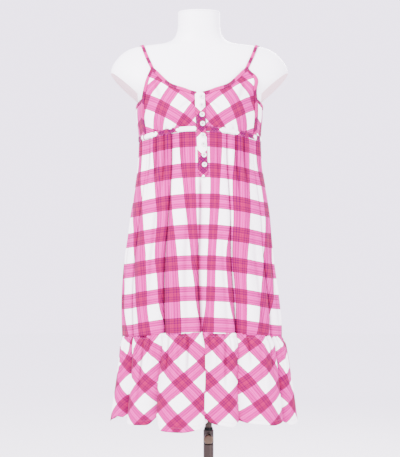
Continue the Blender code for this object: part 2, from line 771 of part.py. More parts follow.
def make_form():
    """The torso, and the cap on its neck."""
    loft("form_torso", [form_ring(ring) for ring in FORM], "form_plastic")
    top = FORM[-1]
    outline = [ring_point(top, FULL_TURN * i / FORM_POINTS) for i in range(FORM_POINTS)]
    cap = []
    for rise, size in NECK_CAP_PROFILE:
        height = top.height + GAP + NECK_CAP_HEIGHT * rise
        cap.append([Vector((top.centre + x * size, y * size, height)) for x, y in outline])
    loft("neck_cap", cap, "form_plastic")


def make_stand():
    """The form's rod and flange, and the tube, clamp, bush, knob and base that carry them."""
    flange_top = FORM[0].height - GAP
    flange_bottom = flange_top - FLANGE_THICKNESS
    turned(
        "rod_flange",
        [
            (0.0, flange_top),
            (FLANGE_RADIUS, flange_top),
            (FLANGE_RADIUS, flange_bottom + BEVEL),
            (FLANGE_RADIUS - BEVEL, flange_bottom),
            (0.0, flange_bottom),
        ],
        "metal",
    )
    rod_top = flange_bottom - GAP
    turned(
        "rod",
        [
            (0.0, rod_top),
            (ROD_RADIUS, rod_top),
            (ROD_RADIUS, ROD_BOTTOM + BEVEL),
            (ROD_RADIUS - BEVEL, ROD_BOTTOM),
            (0.0, ROD_BOTTOM),
        ],
        "metal",
    )
    make_ring("tube", TUBE_BORE, TUBE_RADIUS, BASE_THICKNESS + GAP, COLLAR_BOTTOM - GAP, "metal")
    make_collar()
    make_ring("bush", TUBE_BORE, BUSH_RADIUS, COLLAR_TOP + GAP, BUSH_TOP, "black_rubber")
    make_knob()
    turned(
        "base_plate",
        [
            (0.0, BASE_THICKNESS),
            (BASE_RADIUS * BASE_CROWN, BASE_THICKNESS),
            (BASE_RADIUS - 4 * BASE_ROUND, BASE_EDGE + 1.5 * BASE_ROUND),
            (BASE_RADIUS - BASE_ROUND, BASE_EDGE),
            (BASE_RADIUS, BASE_EDGE - BASE_ROUND),
            (BASE_RADIUS, BEVEL),
            (BASE_RADIUS - BEVEL, 0.0),
            (0.0, 0.0),
        ],
        "metal",
        BASE_STEPS,
    )


def make_ring(name, bore, radius, bottom, top, material):
    """A straight tube round the stand's axis, with small bevelled outer edges."""
    edge = min(BEVEL, (top - bottom) / 4)
    profile = [
        (bore, top),
        (radius - edge, top),
        (radius, top - edge),
        (radius, bottom + edge),
        (radius - edge, bottom),
        (bore, bottom),
    ]
    return turned(name, profile, material, TUBE_STEPS)


def make_collar():
    """The clamp at the tube's top, drilled from the front for the knob's screw."""
    collar = make_ring("clamp_collar", TUBE_BORE, TUBE_RADIUS, COLLAR_BOTTOM, COLLAR_TOP, "metal")
    mesh = bpy.data.meshes.new("screw_drill")
    drill = bmesh.new()
    bmesh.ops.create_cone(
        drill,
        cap_ends=True,
        segments=HOLE_STEPS,
        radius1=SCREW_HOLE,
        radius2=SCREW_HOLE,
        depth=TUBE_RADIUS,
        matrix=Matrix.Rotation(math.pi / 2, 4, "X"),
    )
    drill.to_mesh(mesh)
    drill.free()
    cutter = bpy.data.objects.new("screw_drill", mesh)
    bpy.data.collections["cutters"].objects.link(cutter)
    cutter.location = (0.0, -TUBE_RADIUS, KNOB_HEIGHT)
    cutter.hide_render = True
    cutter.display_type = "WIRE"
    cut = collar.modifiers.new("screw hole", "BOOLEAN")
    cut.operation = "DIFFERENCE"
    cut.object = cutter


def make_knob():
    """The clamp's round knob with its screw, turned about an axis that points to the front."""
    neck = SCREW_TIP - KNOB_FRONT
    head = [(KNOB_RADIUS * wide, neck + KNOB_LENGTH * far) for wide, far in KNOB_PROFILE]
    screw = [(SCREW_RADIUS, neck), (SCREW_RADIUS, SCREW_POINT), (SCREW_RADIUS - SCREW_POINT, 0.0)]
    profile = head + screw + [(0.0, 0.0)]
    place = (0.0, SCREW_TIP, KNOB_HEIGHT)
    turned("clamp_knob", profile, "metal", KNOB_STEPS, place, (math.pi / 2, 0.0, 0.0))


start_scene()
make_form()
make_stand()
make_cups()
make_back()
make_bands()
make_straps()
make_placket()
make_skirt()
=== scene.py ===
"""The finished a-line sundress on its limbless dress form and stand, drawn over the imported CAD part.

Cloth pieces are finer shells on the CAD's own surfaces, with creases, gathers and a woven check.
Each keeps its check in a UV map, in check repeats: the warp's bands along U, the weft's along V.
"""

import math
from collections import namedtuple
from contextlib import contextmanager

import bmesh
import bpy
import numpy as np
from mathutils import Matrix, Vector


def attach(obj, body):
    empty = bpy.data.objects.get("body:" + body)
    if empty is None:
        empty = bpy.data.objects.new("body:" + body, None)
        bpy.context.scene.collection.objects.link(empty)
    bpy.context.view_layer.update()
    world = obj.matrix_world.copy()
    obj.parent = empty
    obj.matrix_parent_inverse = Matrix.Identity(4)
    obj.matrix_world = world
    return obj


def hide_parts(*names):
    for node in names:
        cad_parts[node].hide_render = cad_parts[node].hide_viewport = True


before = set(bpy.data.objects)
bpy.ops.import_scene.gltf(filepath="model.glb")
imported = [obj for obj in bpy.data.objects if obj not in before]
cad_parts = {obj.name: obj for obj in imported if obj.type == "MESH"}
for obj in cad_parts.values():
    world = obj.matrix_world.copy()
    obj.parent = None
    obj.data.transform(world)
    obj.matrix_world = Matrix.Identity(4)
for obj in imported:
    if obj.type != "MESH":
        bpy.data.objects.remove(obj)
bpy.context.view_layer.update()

# --- Sizes shared with the CAD part, in metres and degrees ---------------------------------------

CLOTH = 0.0012
TRIM = 0.0014
GAP = 0.0003
CLEARANCE = 0.0046
BAND_HEIGHT = 0.011
BINDING_WIDTH = 0.008
BINDING_START = 0.125
STRAP_WIDTH = 0.008
STRAP_THICKNESS = 0.0015
STRAP_OVERLAP = 0.008
STRAP_TOP_X = 0.143
STRAP_SEAT = 0.0013
STRAP_FRONT_LIFT = 0.0017
STRAP_BACK_LIFT = 0.0023
STRAP_RISE = 0.16
STRAP_INSET = 0.65
STRAP_TILT = 0.25
STRAP_SEARCH = 0.2
SHOULDER_CORE = 1.335
PLACKET_WIDTH = 0.0215
PLACKET_THICKNESS = 0.0018
PLACKET_BOTTOM = 1.1125
PLACKET_POINT = 0.011
PLACKET_START = 0.0007
PLACKET_LEAN = 0.0063
BUTTON_RADIUS = 0.0057
BUTTON_THICKNESS = 0.0026
BUTTON_OFFSET = 0.0039
BUTTON_HEIGHTS = (1.2965, 1.2769, 1.2557, 1.2353, 1.2086, 1.1886, 1.1635, 1.1410)
SIDE_SEAM = 63.0
SEAM_HALF_ANGLE = 0.07
BAND_TOP_SIDE = 1.212
BAND_ARCH = 0.0175
SKIRT_BOTTOM = 0.736
SKIRT_ARCH = 0.018
ROUNDNESS = 2.3
SURFACE_BLEND = 0.005
CUT_INNER = 0.1476
CUT_INNER_HEIGHT = 1.300
CUT_SLOPE = 0.98
CUT_TILT = 0.20
CHEST_SIDE = 0.1455
BUST_SPREAD = 0.066
BUST_HEIGHT = 1.262
BUST_DEPTH = 0.010
BUST_RADIUS = 0.038
ROD_RADIUS = 0.0085
ROD_BOTTOM = 0.160
FLANGE_RADIUS = 0.042
FLANGE_THICKNESS = 0.006
TUBE_RADIUS = 0.0125
TUBE_BORE = 0.0091
COLLAR_BOTTOM = 0.478
COLLAR_TOP = 0.5115
BUSH_RADIUS = 0.0106
BUSH_TOP = 0.5175
KNOB_HEIGHT = 0.4925
KNOB_RADIUS = 0.0120
KNOB_LENGTH = 0.013
KNOB_FRONT = -0.0155
SCREW_RADIUS = 0.0028
SCREW_TIP = -0.0090
BASE_RADIUS = 0.165
BASE_THICKNESS = 0.012
NECK_CAP_HEIGHT = 0.004
FULL_TURN = 360.0

# Rings by height: the centre's x, half the width, and the reach to the front and back
Ring = namedtuple("Ring", "height centre half front back")
DRESS = [
    Ring(1.371, -0.0216, 0.1239, 0.085, 0.086),
    Ring(1.334, -0.0216, 0.1372, 0.108, 0.100),
    Ring(1.300, -0.0216, 0.1480, 0.121, 0.104),
    Ring(1.262, -0.0216, 0.1500, 0.126, 0.101),
    Ring(1.225, -0.0210, 0.1465, 0.121, 0.095),
    Ring(1.200, -0.0205, 0.1455, 0.118, 0.094),
    Ring(1.144, -0.0200, 0.1478, 0.120, 0.100),
    Ring(1.086, -0.0195, 0.1565, 0.124, 0.108),
    Ring(1.029, -0.0198, 0.1655, 0.128, 0.116),
    Ring(0.971, -0.0212, 0.1715, 0.131, 0.124),
    Ring(0.914, -0.0225, 0.1780, 0.133, 0.130),
    Ring(0.827, -0.0195, 0.1860, 0.135, 0.136),
    Ring(0.770, -0.0165, 0.1880, 0.136, 0.138),
    Ring(0.730, -0.0155, 0.1870, 0.136, 0.138),
]
FLOUNCE = [
    Ring(0.760, -0.0155, 0.1870, 0.136, 0.138),
    Ring(0.736, -0.0155, 0.1870, 0.136, 0.138),
    Ring(0.718, -0.0130, 0.1925, 0.140, 0.142),
    Ring(0.690, -0.0115, 0.1950, 0.141, 0.144),
    Ring(0.640, -0.0100, 0.1985, 0.141, 0.145),
    Ring(0.590, -0.0095, 0.2030, 0.142, 0.147),
    Ring(0.530, -0.0095, 0.2080, 0.143, 0.149),
]
FORM = [
    Ring(0.6620, -0.0080, 0.0600, 0.0520, 0.0520),
    Ring(0.6640, -0.0080, 0.0900, 0.0760, 0.0780),
    Ring(0.6740, -0.0090, 0.1220, 0.0950, 0.0980),
    Ring(0.7000, -0.0100, 0.1420, 0.1060, 0.1110),
    Ring(0.7600, -0.0130, 0.1540, 0.1120, 0.1200),
    Ring(0.8500, -0.0170, 0.1580, 0.1130, 0.1230),
    Ring(0.9500, -0.0200, 0.1480, 0.1060, 0.1150),
    Ring(1.0600, -0.0205, 0.1240, 0.0900, 0.0870),
    Ring(1.1500, -0.0205, 0.1270, 0.0940, 0.0820),
    Ring(1.2200, -0.0210, 0.1385, 0.1060, 0.0890),
    Ring(1.2620, -0.0216, 0.1445, 0.1130, 0.0950),
    Ring(1.2800, -0.0216, 0.1450, 0.1145, 0.0975),
    Ring(1.2900, -0.0216, 0.1470, 0.1145, 0.0980),
    Ring(1.3000, -0.0216, 0.1550, 0.1140, 0.0985),
    Ring(1.3100, -0.0216, 0.1670, 0.1120, 0.0985),
    Ring(1.3200, -0.0216, 0.1800, 0.1090, 0.0980),
    Ring(1.3350, -0.0216, 0.1970, 0.1030, 0.0970),
    Ring(1.3500, -0.0216, 0.2080, 0.0960, 0.0945),
    Ring(1.3640, -0.0218, 0.2120, 0.0890, 0.0915),
    Ring(1.3790, -0.0220, 0.2095, 0.0810, 0.0880),
    Ring(1.3910, -0.0222, 0.2030, 0.0740, 0.0845),
    Ring(1.4020, -0.0223, 0.1945, 0.0680, 0.0815),
    Ring(1.4120, -0.0224, 0.1840, 0.0620, 0.0780),
    Ring(1.4200, -0.0225, 0.1720, 0.0575, 0.0750),
    Ring(1.4260, -0.0226, 0.1560, 0.0545, 0.0720),
    Ring(1.4300, -0.0227, 0.1320, 0.0525, 0.0690),
    Ring(1.4330, -0.0228, 0.1040, 0.0510, 0.0670),
    Ring(1.4375, -0.0228, 0.0800, 0.0500, 0.0640),
    Ring(1.4450, -0.0228, 0.0645, 0.0490, 0.0600),
    Ring(1.4560, -0.0228, 0.0560, 0.0485, 0.0560),
    Ring(1.4720, -0.0228, 0.0512, 0.0490, 0.0520),
    Ring(1.4900, -0.0228, 0.0505, 0.0495, 0.0505),
    Ring(1.5080, -0.0228, 0.0505, 0.0500, 0.0500),
]
# The top edges: the neckline by the share of the way to the side seam, the back by its azimuth
Edge = namedtuple("Edge", "along height")
NECKLINE = [
    Edge(0.000, 1.3065),
    Edge(0.165, 1.3120),
    Edge(0.275, 1.3175),
    Edge(0.528, 1.3290),
    Edge(0.690, 1.3440),
    Edge(0.865, 1.3610),
    Edge(1.000, 1.3710),
]
BACK_EDGE = [
    Edge(63.0, 1.2970),
    Edge(75.0, 1.2905),
    Edge(90.0, 1.2860),
    Edge(110.0, 1.2870),
    Edge(145.0, 1.3020),
    Edge(180.0, 1.3000),
]
STRAP_BACK = BACK_EDGE[4]

# --- Sizes of the scene's own detail --------------------------------------------------------------

# One check repeat, and how far a bias-cut check repeats sideways
REPEAT = 0.0690
BIAS_REPEAT = REPEAT * math.sqrt(2)
# How far the cups, the back and the skirt go up or down behind the band
TUCK = 0.0025
# The drawn cloth's own thickness, half a stitch's width, and the angle from which an edge is sharp
SHELL = 0.0009
STITCH = 0.00016
SHARP = math.radians(32)
# The cloth's usual distance from the axis, to turn degrees into lengths
SKIRT_RADIUS = 0.15
FLOUNCE_RADIUS = 0.17
CREASE_WIDTH = 0.0045
FLOUNCE_CREASE_WIDTH = 0.015
# How high the small pleats stand where the cloth is gathered into a seam
PLEATS = 0.0011
HEM_SOFTNESS = 0.045
# How far below the flounce's seam its first crossings of two pink bands lie, and how much faster
# the check runs than the lengths it's read from
FLOUNCE_START = 0.019
FLOUNCE_EASE = 1.03

# Each crease: its azimuth in the skirt and in the flounce, how far the cloth after it bulges in
# each, how deep the crease goes half-way down the skirt and in the flounce, and how far its two
# sides lap over each other in the flounce, in degrees: + where the cloth before it lies on top
Crease = namedtuple("Crease", "skirt flounce skirt_bulge flounce_bulge middle low over")
CREASES = [
    Crease(-90.0, -90.0, 0.006, 0.022, 0.002, 0.006, 0.0),
    Crease(-57.0, -59.0, 0.007, 0.021, 0.003, 0.008, 0.8),
    Crease(-23.6, -28.5, 0.009, 0.026, 0.009, 0.017, -1.6),
    Crease(0.0, -1.5, 0.008, 0.023, 0.006, 0.025, 2.6),
    Crease(22.5, 20.0, 0.010, 0.024, 0.009, 0.014, -1.0),
    Crease(57.0, 58.0, 0.007, 0.020, 0.003, 0.007, 0.6),
    Crease(88.0, 88.0, 0.006, 0.021, 0.002, 0.006, 0.0),
    Crease(117.0, 118.0, 0.008, 0.022, 0.005, 0.010, -1.2),
    Crease(148.0, 146.0, 0.009, 0.024, 0.006, 0.013, 1.8),
    Crease(172.0, 173.0, 0.010, 0.023, 0.005, 0.009, -0.8),
    Crease(204.0, 203.0, 0.009, 0.025, 0.006, 0.014, 2.0),
    Crease(237.0, 238.0, 0.007, 0.021, 0.003, 0.009, -1.0),
]

# Troughs (of negative depth) and ridges: each place is an azimuth on the skirt and the back and a
# crease number on the flounce, start and end are shares of the way down, width is as the place
Wave = namedtuple("Wave", "place start end width depth")
# Gathers under the band at the front
FRONT_GATHERS = [
    Wave(-83, -0.05, 0.22, 1.6, -0.0016),
    Wave(-76, -0.05, 0.16, 1.8, 0.0016),
    Wave(-70, -0.05, 0.30, 1.5, -0.0020),
    Wave(-64, -0.06, 0.18, 1.8, 0.0018),
    Wave(-52, -0.05, 0.26, 1.5, -0.0022),
    Wave(-47, -0.05, 0.34, 1.7, 0.0024),
    Wave(-42, -0.05, 0.24, 1.3, -0.0026),
    Wave(-37, -0.05, 0.40, 1.7, 0.0028),
    Wave(-32, -0.04, 0.30, 1.2, -0.0026),
    Wave(-28, -0.04, 0.22, 1.2, 0.0022),
    Wave(-19, -0.04, 0.22, 1.2, 0.0020),
    Wave(-14, -0.03, 0.28, 1.2, -0.0016),
    Wave(13, -0.03, 0.26, 1.2, -0.0016),
    Wave(18, -0.04, 0.20, 1.2, 0.0020),
    Wave(27, -0.04, 0.24, 1.3, 0.0024),
    Wave(32, -0.04, 0.36, 1.3, -0.0028),
    Wave(37, -0.05, 0.22, 1.6, 0.0024),
    Wave(42, -0.05, 0.30, 1.3, -0.0022),
    Wave(48, -0.05, 0.20, 1.7, 0.0022),
    Wave(64, -0.05, 0.24, 1.6, -0.0018),
    Wave(72, -0.05, 0.18, 1.8, 0.0016),
    Wave(80, -0.05, 0.26, 1.6, -0.0016),
]
# Long soft folds down the skirt's front, as in the photo
FRONT_FOLDS = [
    Wave(-74, 0.25, 1.20, 4.0, -0.0030),
    Wave(-46, 0.30, 1.25, 4.5, 0.0030),
    Wave(-36, 0.10, 0.95, 3.0, -0.0020),
    Wave(-15, 0.35, 1.20, 3.5, 0.0024),
    Wave(-8, 0.20, 1.10, 2.6, -0.0022),
    Wave(9, 0.30, 1.20, 3.2, 0.0026),
    Wave(15, 0.45, 1.20, 2.4, -0.0018),
    Wave(35, 0.15, 1.00, 3.4, 0.0024),
    Wave(44, 0.40, 1.25, 3.6, -0.0026),
    Wave(70, 0.30, 1.20, 4.0, -0.0028),
]
# Puckers and flutes in the flounce's front
FRONT_FLUTES = [
    Wave(0.30, -0.10, 0.50, 0.050, -0.0030),
    Wave(0.62, -0.10, 0.70, 0.060, 0.0030),
    Wave(1.22, -0.10, 0.55, 0.050, 0.0028),
    Wave(1.48, -0.10, 0.80, 0.060, -0.0034),
    Wave(1.75, -0.10, 0.40, 0.045, 0.0028),
    Wave(2.18, -0.10, 0.45, 0.040, -0.0028),
    Wave(2.40, -0.10, 0.60, 0.060, 0.0034),
    Wave(2.70, -0.10, 0.50, 0.050, -0.0030),
    Wave(3.25, -0.10, 0.55, 0.055, 0.0032),
    Wave(3.55, -0.10, 0.65, 0.055, -0.0032),
    Wave(3.80, -0.10, 0.35, 0.045, 0.0026),
    Wave(4.20, -0.10, 0.40, 0.045, -0.0026),
    Wave(4.50, -0.10, 0.70, 0.060, 0.0034),
    Wave(4.74, -0.10, 0.50, 0.045, -0.0028),
    Wave(5.30, -0.10, 0.55, 0.060, 0.0028),
    Wave(5.66, -0.10, 0.60, 0.055, -0.0030),
]
# Soft folds in the back of the bodice
BACK_WRINKLES = [
    Wave(72, 0.2, 1.1, 3.0, -0.0010),
    Wave(96, 0.4, 1.2, 3.0, 0.0014),
    Wave(118, 0.3, 1.2, 2.6, -0.0014),
    Wave(141, 0.5, 1.3, 3.2, 0.0016),
    Wave(163, 0.4, 1.2, 2.4, -0.0012),
    Wave(186, 0.5, 1.2, 3.0, 0.0014),
    Wave(207, 0.3, 1.2, 2.8, -0.0016),
    Wave(229, 0.4, 1.3, 2.6, 0.0014),
    Wave(262, 0.3, 1.2, 3.0, -0.0012),
    Wave(285, 0.2, 1.2, 2.6, 0.0012),
]
# Gathers under the bust, by their distance from the centre, and pulls from (x, height) to another
Gather = namedtuple("Gather", "place top width depth")
CUP_GATHERS = [
    Gather(0.030, 1.236, 0.0030, 0.0014),
    Gather(0.040, 1.240, 0.0032, -0.0014),
    Gather(0.049, 1.245, 0.0034, 0.0020),
    Gather(0.058, 1.242, 0.0030, -0.0018),
    Gather(0.067, 1.247, 0.0036, 0.0022),
    Gather(0.077, 1.240, 0.0030, -0.0018),
    Gather(0.086, 1.244, 0.0034, 0.0018),
    Gather(0.096, 1.238, 0.0030, -0.0014),
    Gather(0.105, 1.240, 0.0034, 0.0014),
]
Pull = namedtuple("Pull", "x height end_x end_height width depth")
CUP_PULLS = [
    Pull(0.112, 1.362, 0.080, 1.262, 0.007, -0.0020),
    Pull(0.123, 1.345, 0.110, 1.255, 0.006, 0.0016),
    Pull(0.020, 1.290, 0.060, 1.262, 0.006, -0.0016),
    Pull(0.018, 1.262, 0.052, 1.246, 0.005, 0.0014),
    Pull(0.130, 1.300, 0.100, 1.270, 0.006, -0.0014),
]

# The hem's height by crease number: flat under each lobe, with narrow notches at the creases
HEM = (
    "0 .541  .35 .538  .75 .556  1 .552  1.2 .540  1.82 .543  2 .571  2.14 .532  2.7 .530  2.97 .535"
    "  3.03 .569  3.25 .549  3.75 .539  3.95 .556  4.12 .548  4.6 .541  5 .547  5.2 .534  5.65 .537"
    "  6 .545  6.3 .538  6.8 .541  7 .557  7.2 .539  7.75 .535  8 .563  8.2 .541  8.8 .537  9 .552"
    "  9.25 .534  9.8 .540  10 .564  10.3 .539  10.8 .543  11 .556  11.25 .538  11.8 .543  12 .541"
)
# Where the check's bands fall on the skirt's front: for a share of the way down, crease numbers
# with fractions, and the check repeats there. The jumps at 2, 3 and 4 are cloth lost in creases.
SKIRT_MARKS = {
    0.12: "0 -.2  1.33 .76  1.995 1.24  2.005 2.33  2.31 2.76  2.89 3.24  3.29 3.76  3.77 4.24"
    "  3.995 4.56  4.005 5.65  4.23 5.76  4.76 6.24  5.24 6.76  6 7.15",
    0.26: "0 -.35  .88 .24  1.51 .76  1.995 1.22  2.005 2.24  2.48 2.76  2.88 3.24  3.29 3.76"
    "  3.62 4.24  3.995 4.65  4.005 5.7  4.63 6.24  5.25 6.76  6 7.2",
    0.44: "0 -.7  .77 -.24  1.3 .24  1.73 .76  1.995 1.12  2.005 2.02  2.23 2.24  2.66 2.76"
    "  2.93 3.24  2.995 3.36  3.005 3.46  3.23 3.76  3.51 4.24  3.995 4.75  4.005 5.7"
    "  4.5 6.24  5.22 6.76  6 7.35",
    0.58: "0 -.95  .95 -.24  1.5 .24  1.71 .76  1.995 1.22  2.005 1.84  2.44 2.24  2.8 2.76"
    "  2.995 3.27  3.005 3.52  3.21 3.76  3.45 4.24  3.77 4.76  3.995 5.0  4.005 5.74"
    "  4.38 6.24  5.03 6.76  5.5 7.24  6 7.6",
    0.72: "0 -1.1  1.15 -.24  1.58 .24  1.86 .76  1.995 1.25  2.005 1.74  2.52 2.24  2.9 2.76"
    "  2.995 2.88  3.005 3.5  3.18 3.76  3.4 4.24  3.77 4.76  3.995 5.26  4.005 5.72"
    "  4.29 6.24  4.75 6.76  5.5 7.24  6 7.7",
    0.87: "0 -1.25  1.3 -.24  1.6 .24  1.9 .76  1.995 .89  2.005 1.76  2.56 2.24  2.92 2.76"
    "  2.995 2.87  3.005 3.58  3.12 3.76  3.31 4.24  3.8 4.76  3.995 4.98  4.005 5.7"
    "  4.25 6.24  4.6 6.76  5.03 7.24  6 7.9",
    0.98: "0 -1.33  .85 -.76  1.35 -.24  1.7 .24  1.995 .72  2.005 1.76  2.55 2.24"
    "  2.995 2.72  3.005 3.76  3.27 4.24  3.995 4.74  4.005 5.78  4.2 6.24  4.42 6.76"
    "  4.8 7.24  6 8.05",
}
# Where crossings fall in each lobe of the flounce's front: (share of the way down, crease number,
# bias repeats around)
FLOUNCE_MARKS = [
    [(0.29, 0.97, -0.5), (0.70, 0.94, -0.5)],
    [(0.08, 1.57, 0.0), (0.54, 1.64, 0.0), (0.92, 1.71, 0.0)],
    [(0.08, 2.64, 1.0), (0.54, 2.61, 1.0), (0.92, 2.54, 1.0)],
    [(0.08, 3.26, 2.0), (0.54, 3.17, 2.0)],
    [(0.08, 4.26, 3.0), (0.54, 4.12, 3.0), (0.92, 4.71, 4.0)],
    [(0.29, 5.05, 3.67), (0.54, 5.08, 4.0), (0.92, 5.05, 4.2)],
]
# Cloth lost in each of the back's creases, in check repeats, at the band and at the flounce's seam
BACK_LOST = {7: (0.55, 0.30), 8: (0.70, 0.85), 9: (0.45, 0.60), 10: (0.80, 0.50), 11: (0.40, 0.35)}
# Where a crossing of two pink bands falls on each cup, as (x, height)
CUP_CROSSINGS = {-1: (-0.1087, 1.2725), 1: (0.0693, 1.2700)}
# How far each armhole's edge bulges out near its top, and where and how high the bulge is
ARM_BULGE = {-1: 0.002, 1: 0.014}
ARM_BULGE_HEIGHT = 1.341
ARM_BULGE_REACH = 0.020
# How deep the skirt's creases are on the way down, and how far the flounce's open: (shares, values)
TROUGH_BY_DROP = ([0.0, 0.12, 0.45, 1.0], [0.35, 0.6, 1.0, 1.15])
OPENING_BY_DROP = ([0.0, 0.25, 0.6, 1.0], [0.15, 0.6, 1.0, 1.0])
# How round the folds are: a lower power is rounder
SKIRT_CROWN = 0.8
FLOUNCE_CROWN = 0.55
# The under side of a lap, as a share of the other creases' width and depth
LAP_SHARPNESS = 0.45
LAP_DEPTH = 0.35
# The heights between which the skirt's folds fade out behind the placket
PLACKET_FADE = [1.09, 1.13]
# Painted shade in folds, for folds of three sizes: how far aside the cloth is compared, and the depth of a
# full fold
FOLD_SHADE_SCALES = ((0.006, 0.0018), (0.014, 0.0055), (0.026, 0.0130))
# How far each panel's ends stay from the side seams' creases, in crease numbers
SEAM_GAP = 0.003
# Where the skirt's weft starts, in check repeats below the band
WEFT_START = 0.300
# How far the cloth's columns have turned at the flounce's seam, from their places in the skirt (0)
# to those in the flounce (1), and how fast they turn the rest of the way
SEAM_TURN, TURN_SPEED = 0.2, 1.6
# How much the tables' waves, the gathers under the bust and the flounce's pleats are strengthened
SKIRT_RIPPLES, FLOUNCE_RIPPLES, CUP_RIPPLES, FLOUNCE_PLEATS = 1.3, 1.2, 1.3, 1.3
# Degrees from pleat to pleat, and the share of the way down where they are gone
PLEAT_STEP, PLEAT_END = 1.9, 0.16
FLOUNCE_PLEAT_STEP, FLOUNCE_PLEAT_END = 2.3, 0.30
# How far the flounce's first row goes up and in behind the skirt's edge, and its stitches' length
TUCK_UP, TUCK_IN = 0.003, 0.990
HEM_STITCH = 0.0026
# The weft's repeat against the warp's in the middle of the skirt, and how much more at its sides
WEFT_STRETCH, WEFT_SIDE_STRETCH = 1.028, 0.022
# The height where the gathers under the bust are deepest, and the share of the way down a cup where
# its armhole's bulge is whole
GATHER_FOOT = 1.218
BULGE_START = 0.12
# The line between the cups
CUP_MIDDLE = -0.0215
# The cups' check: the repeats of the outer warp and of the weft, how the two lines through the
# crossing lean and bend, and how wide the inner warp's bands fan out over the gathers
CUP_WARP, CUP_WEFT = 0.066, 0.076
CUP_LINE, CUP_SLOPE = (0.45, 5.2), (0.47, 2.4)
CUP_SLOPE_LIMITS = (-0.07, 0.10)
CUP_FAN, CUP_FAN_LIMITS = (0.08508, 0.62), (0.052, 0.097)
# A binding's lift over its sheet: at its edges, and how much more in its middle
BINDING_LIFT, BINDING_SWELL = 0.0006, 0.0009
BAND_LIFT, BAND_SWELL = 0.0008, 0.0004
# How far the placket's middle swells, and where two of its pink bands cross: from its middle, height
PLACKET_SWELL = 0.0008
PLACKET_CROSSING = (0.0005, 1.23895)
# The little puckers along its edges
PUCKER = 0.0003
# The buttons' holes: their radius and their place along each diagonal as shares of the button's
BUTTON_HOLE, BUTTON_HOLE_PLACE = 0.13, 0.24
# How far the buttons lie over the placket, their thread's radius and how far it's set aside
BUTTON_LIFT, THREAD_RADIUS, THREAD_ASIDE = 0.0002, 0.00026, 0.00014
# The check's repeat along a strap
STRAP_REPEAT = REPEAT * 0.52
# The space that is cut away below each shoulder: its sides from the middle, its lower end, half its
# depth, and the height that the flat cuts lie above
WEDGE_SIDES = (CHEST_SIDE, 0.262)
WEDGE_BOTTOM = 1.215
WEDGE_DEPTH = 0.16
CUT_LOWEST = 1.27
# The angle from which the form's edges are sharp
FORM_SHARP = math.radians(38)
# Outlines as shares of the piece's radius and thickness
BUTTON_PROFILE = [(0, 0.60), (0.50, 0.62), (0.60, 0.72), (0.70, 0.95), (0.80, 1), (0.92, 0.93)]
BUTTON_PROFILE += [(0.985, 0.70), (1, 0.45), (0.95, 0.15), (0.82, 0), (0, 0)]
KNOB_PROFILE = [(0, 1), (0.62, 1), (0.80, 0.97), (0.93, 0.88), (1, 0.74), (1, 0.40), (1, 0.22)]
KNOB_PROFILE += [(0.93, 0.10), (0.70, 0)]
NECK_CAP_PROFILE = [(0, 1), (0.80, 1), (0.95, 0.97), (0.985, 0.85), (1, 0.6), (1, 0)]
# The base's rounded rim: how far inside its edge, and the height there
BASE_RIM = [(0.02475, 0.0094), (0.010, 0.0083), (0.004, 0.0064), (0.001, 0.004), (0, 0.002)]
BASE_RIM += [(0, 0.001), (0.001, 0)]
# How far turned metal edges are eased
EASE = 0.001

# --- Colours --------------------------------------------------------------------------------------

WHITE_THREADS = (0.93, 0.905, 0.92)
PINK = (0.46, 0.007, 0.20)
LINE = (0.21, 0.001, 0.095)
PALE = (0.60, 0.045, 0.31)
EDGE = (0.30, 0.003, 0.11)
# The least of each channel where two bands cross, as the dye keeps its blue
CROSSING = (0.0, 0.0, 0.048)
# The painted shade deep inside a fold, darker and pinker
FOLD_SHADE = (0.43, 0.26, 0.34)
# The tint of one set of threads from each place in a repeat: pink from 0 to 0.48, then white
BAND = [
    (0.000, EDGE),
    (0.022, PINK),
    (0.078, LINE),
    (0.096, PINK),
    (0.152, LINE),
    (0.168, PINK),
    (0.206, PALE),
    (0.220, PINK),
    (0.262, PALE),
    (0.276, PINK),
    (0.318, LINE),
    (0.334, PINK),
    (0.388, LINE),
    (0.406, PINK),
    (0.458, EDGE),
    (0.480, (1.00, 1.00, 1.00)),
]
# How far into the repeat the check's coordinates start, in the middle of a band
BAND_MIDDLE = 0.24
# Threads in one check repeat
THREADS = 130.0


# --- Curves and rings -----------------------------------------------------------------------------


def read(rows, key, name, where):
    """One column of a table at places between its rows, on a smooth curve through them."""
    rows = sorted(rows, key=lambda row: getattr(row, key))
    places = np.array([getattr(row, key) for row in rows])
    values = np.array([getattr(row, name) for row in rows])
    last = len(places) - 1
    low, high = np.maximum(np.arange(last + 1) - 1, 0), np.minimum(np.arange(last + 1) + 1, last)
    slopes = (values[high] - values[low]) / (places[high] - places[low])
    where = np.clip(where, places[0], places[-1])
    i = np.clip(np.searchsorted(places, where, side="right") - 1, 0, last - 1)
    span = places[i + 1] - places[i]
    t = (where - places[i]) / span
    start = (2 * t**3 - 3 * t**2 + 1) * values[i] + (t**3 - 2 * t**2 + t) * span * slopes[i]
    end = (3 * t**2 - 2 * t**3) * values[i + 1] + (t**3 - t**2) * span * slopes[i + 1]
    return start + end


def ring_at(rows, height):
    """The rings at heights between the table's rows."""
    return Ring(height, *(read(rows, "height", name, height) for name in Ring._fields[1:]))


def power(value, exponent):
    """A power that keeps the sign."""
    return np.sign(value) * np.abs(value) ** exponent


def bell(distance, width):
    """1 at no distance, falling softly to 0 past the width."""
    return np.exp(-((distance / width) ** 2))


def reach(ring, x, facing):
    """How far a ring reaches to the front (-1) or back (+1) at a distance x from its centre."""
    depth = np.where(np.asarray(facing) < 0, ring.front, ring.back)
    inside = np.maximum(1.0 - np.minimum(np.abs(x) / ring.half, 1.0) ** ROUNDNESS, 0.0)
    return depth * inside ** (1.0 / ROUNDNESS)


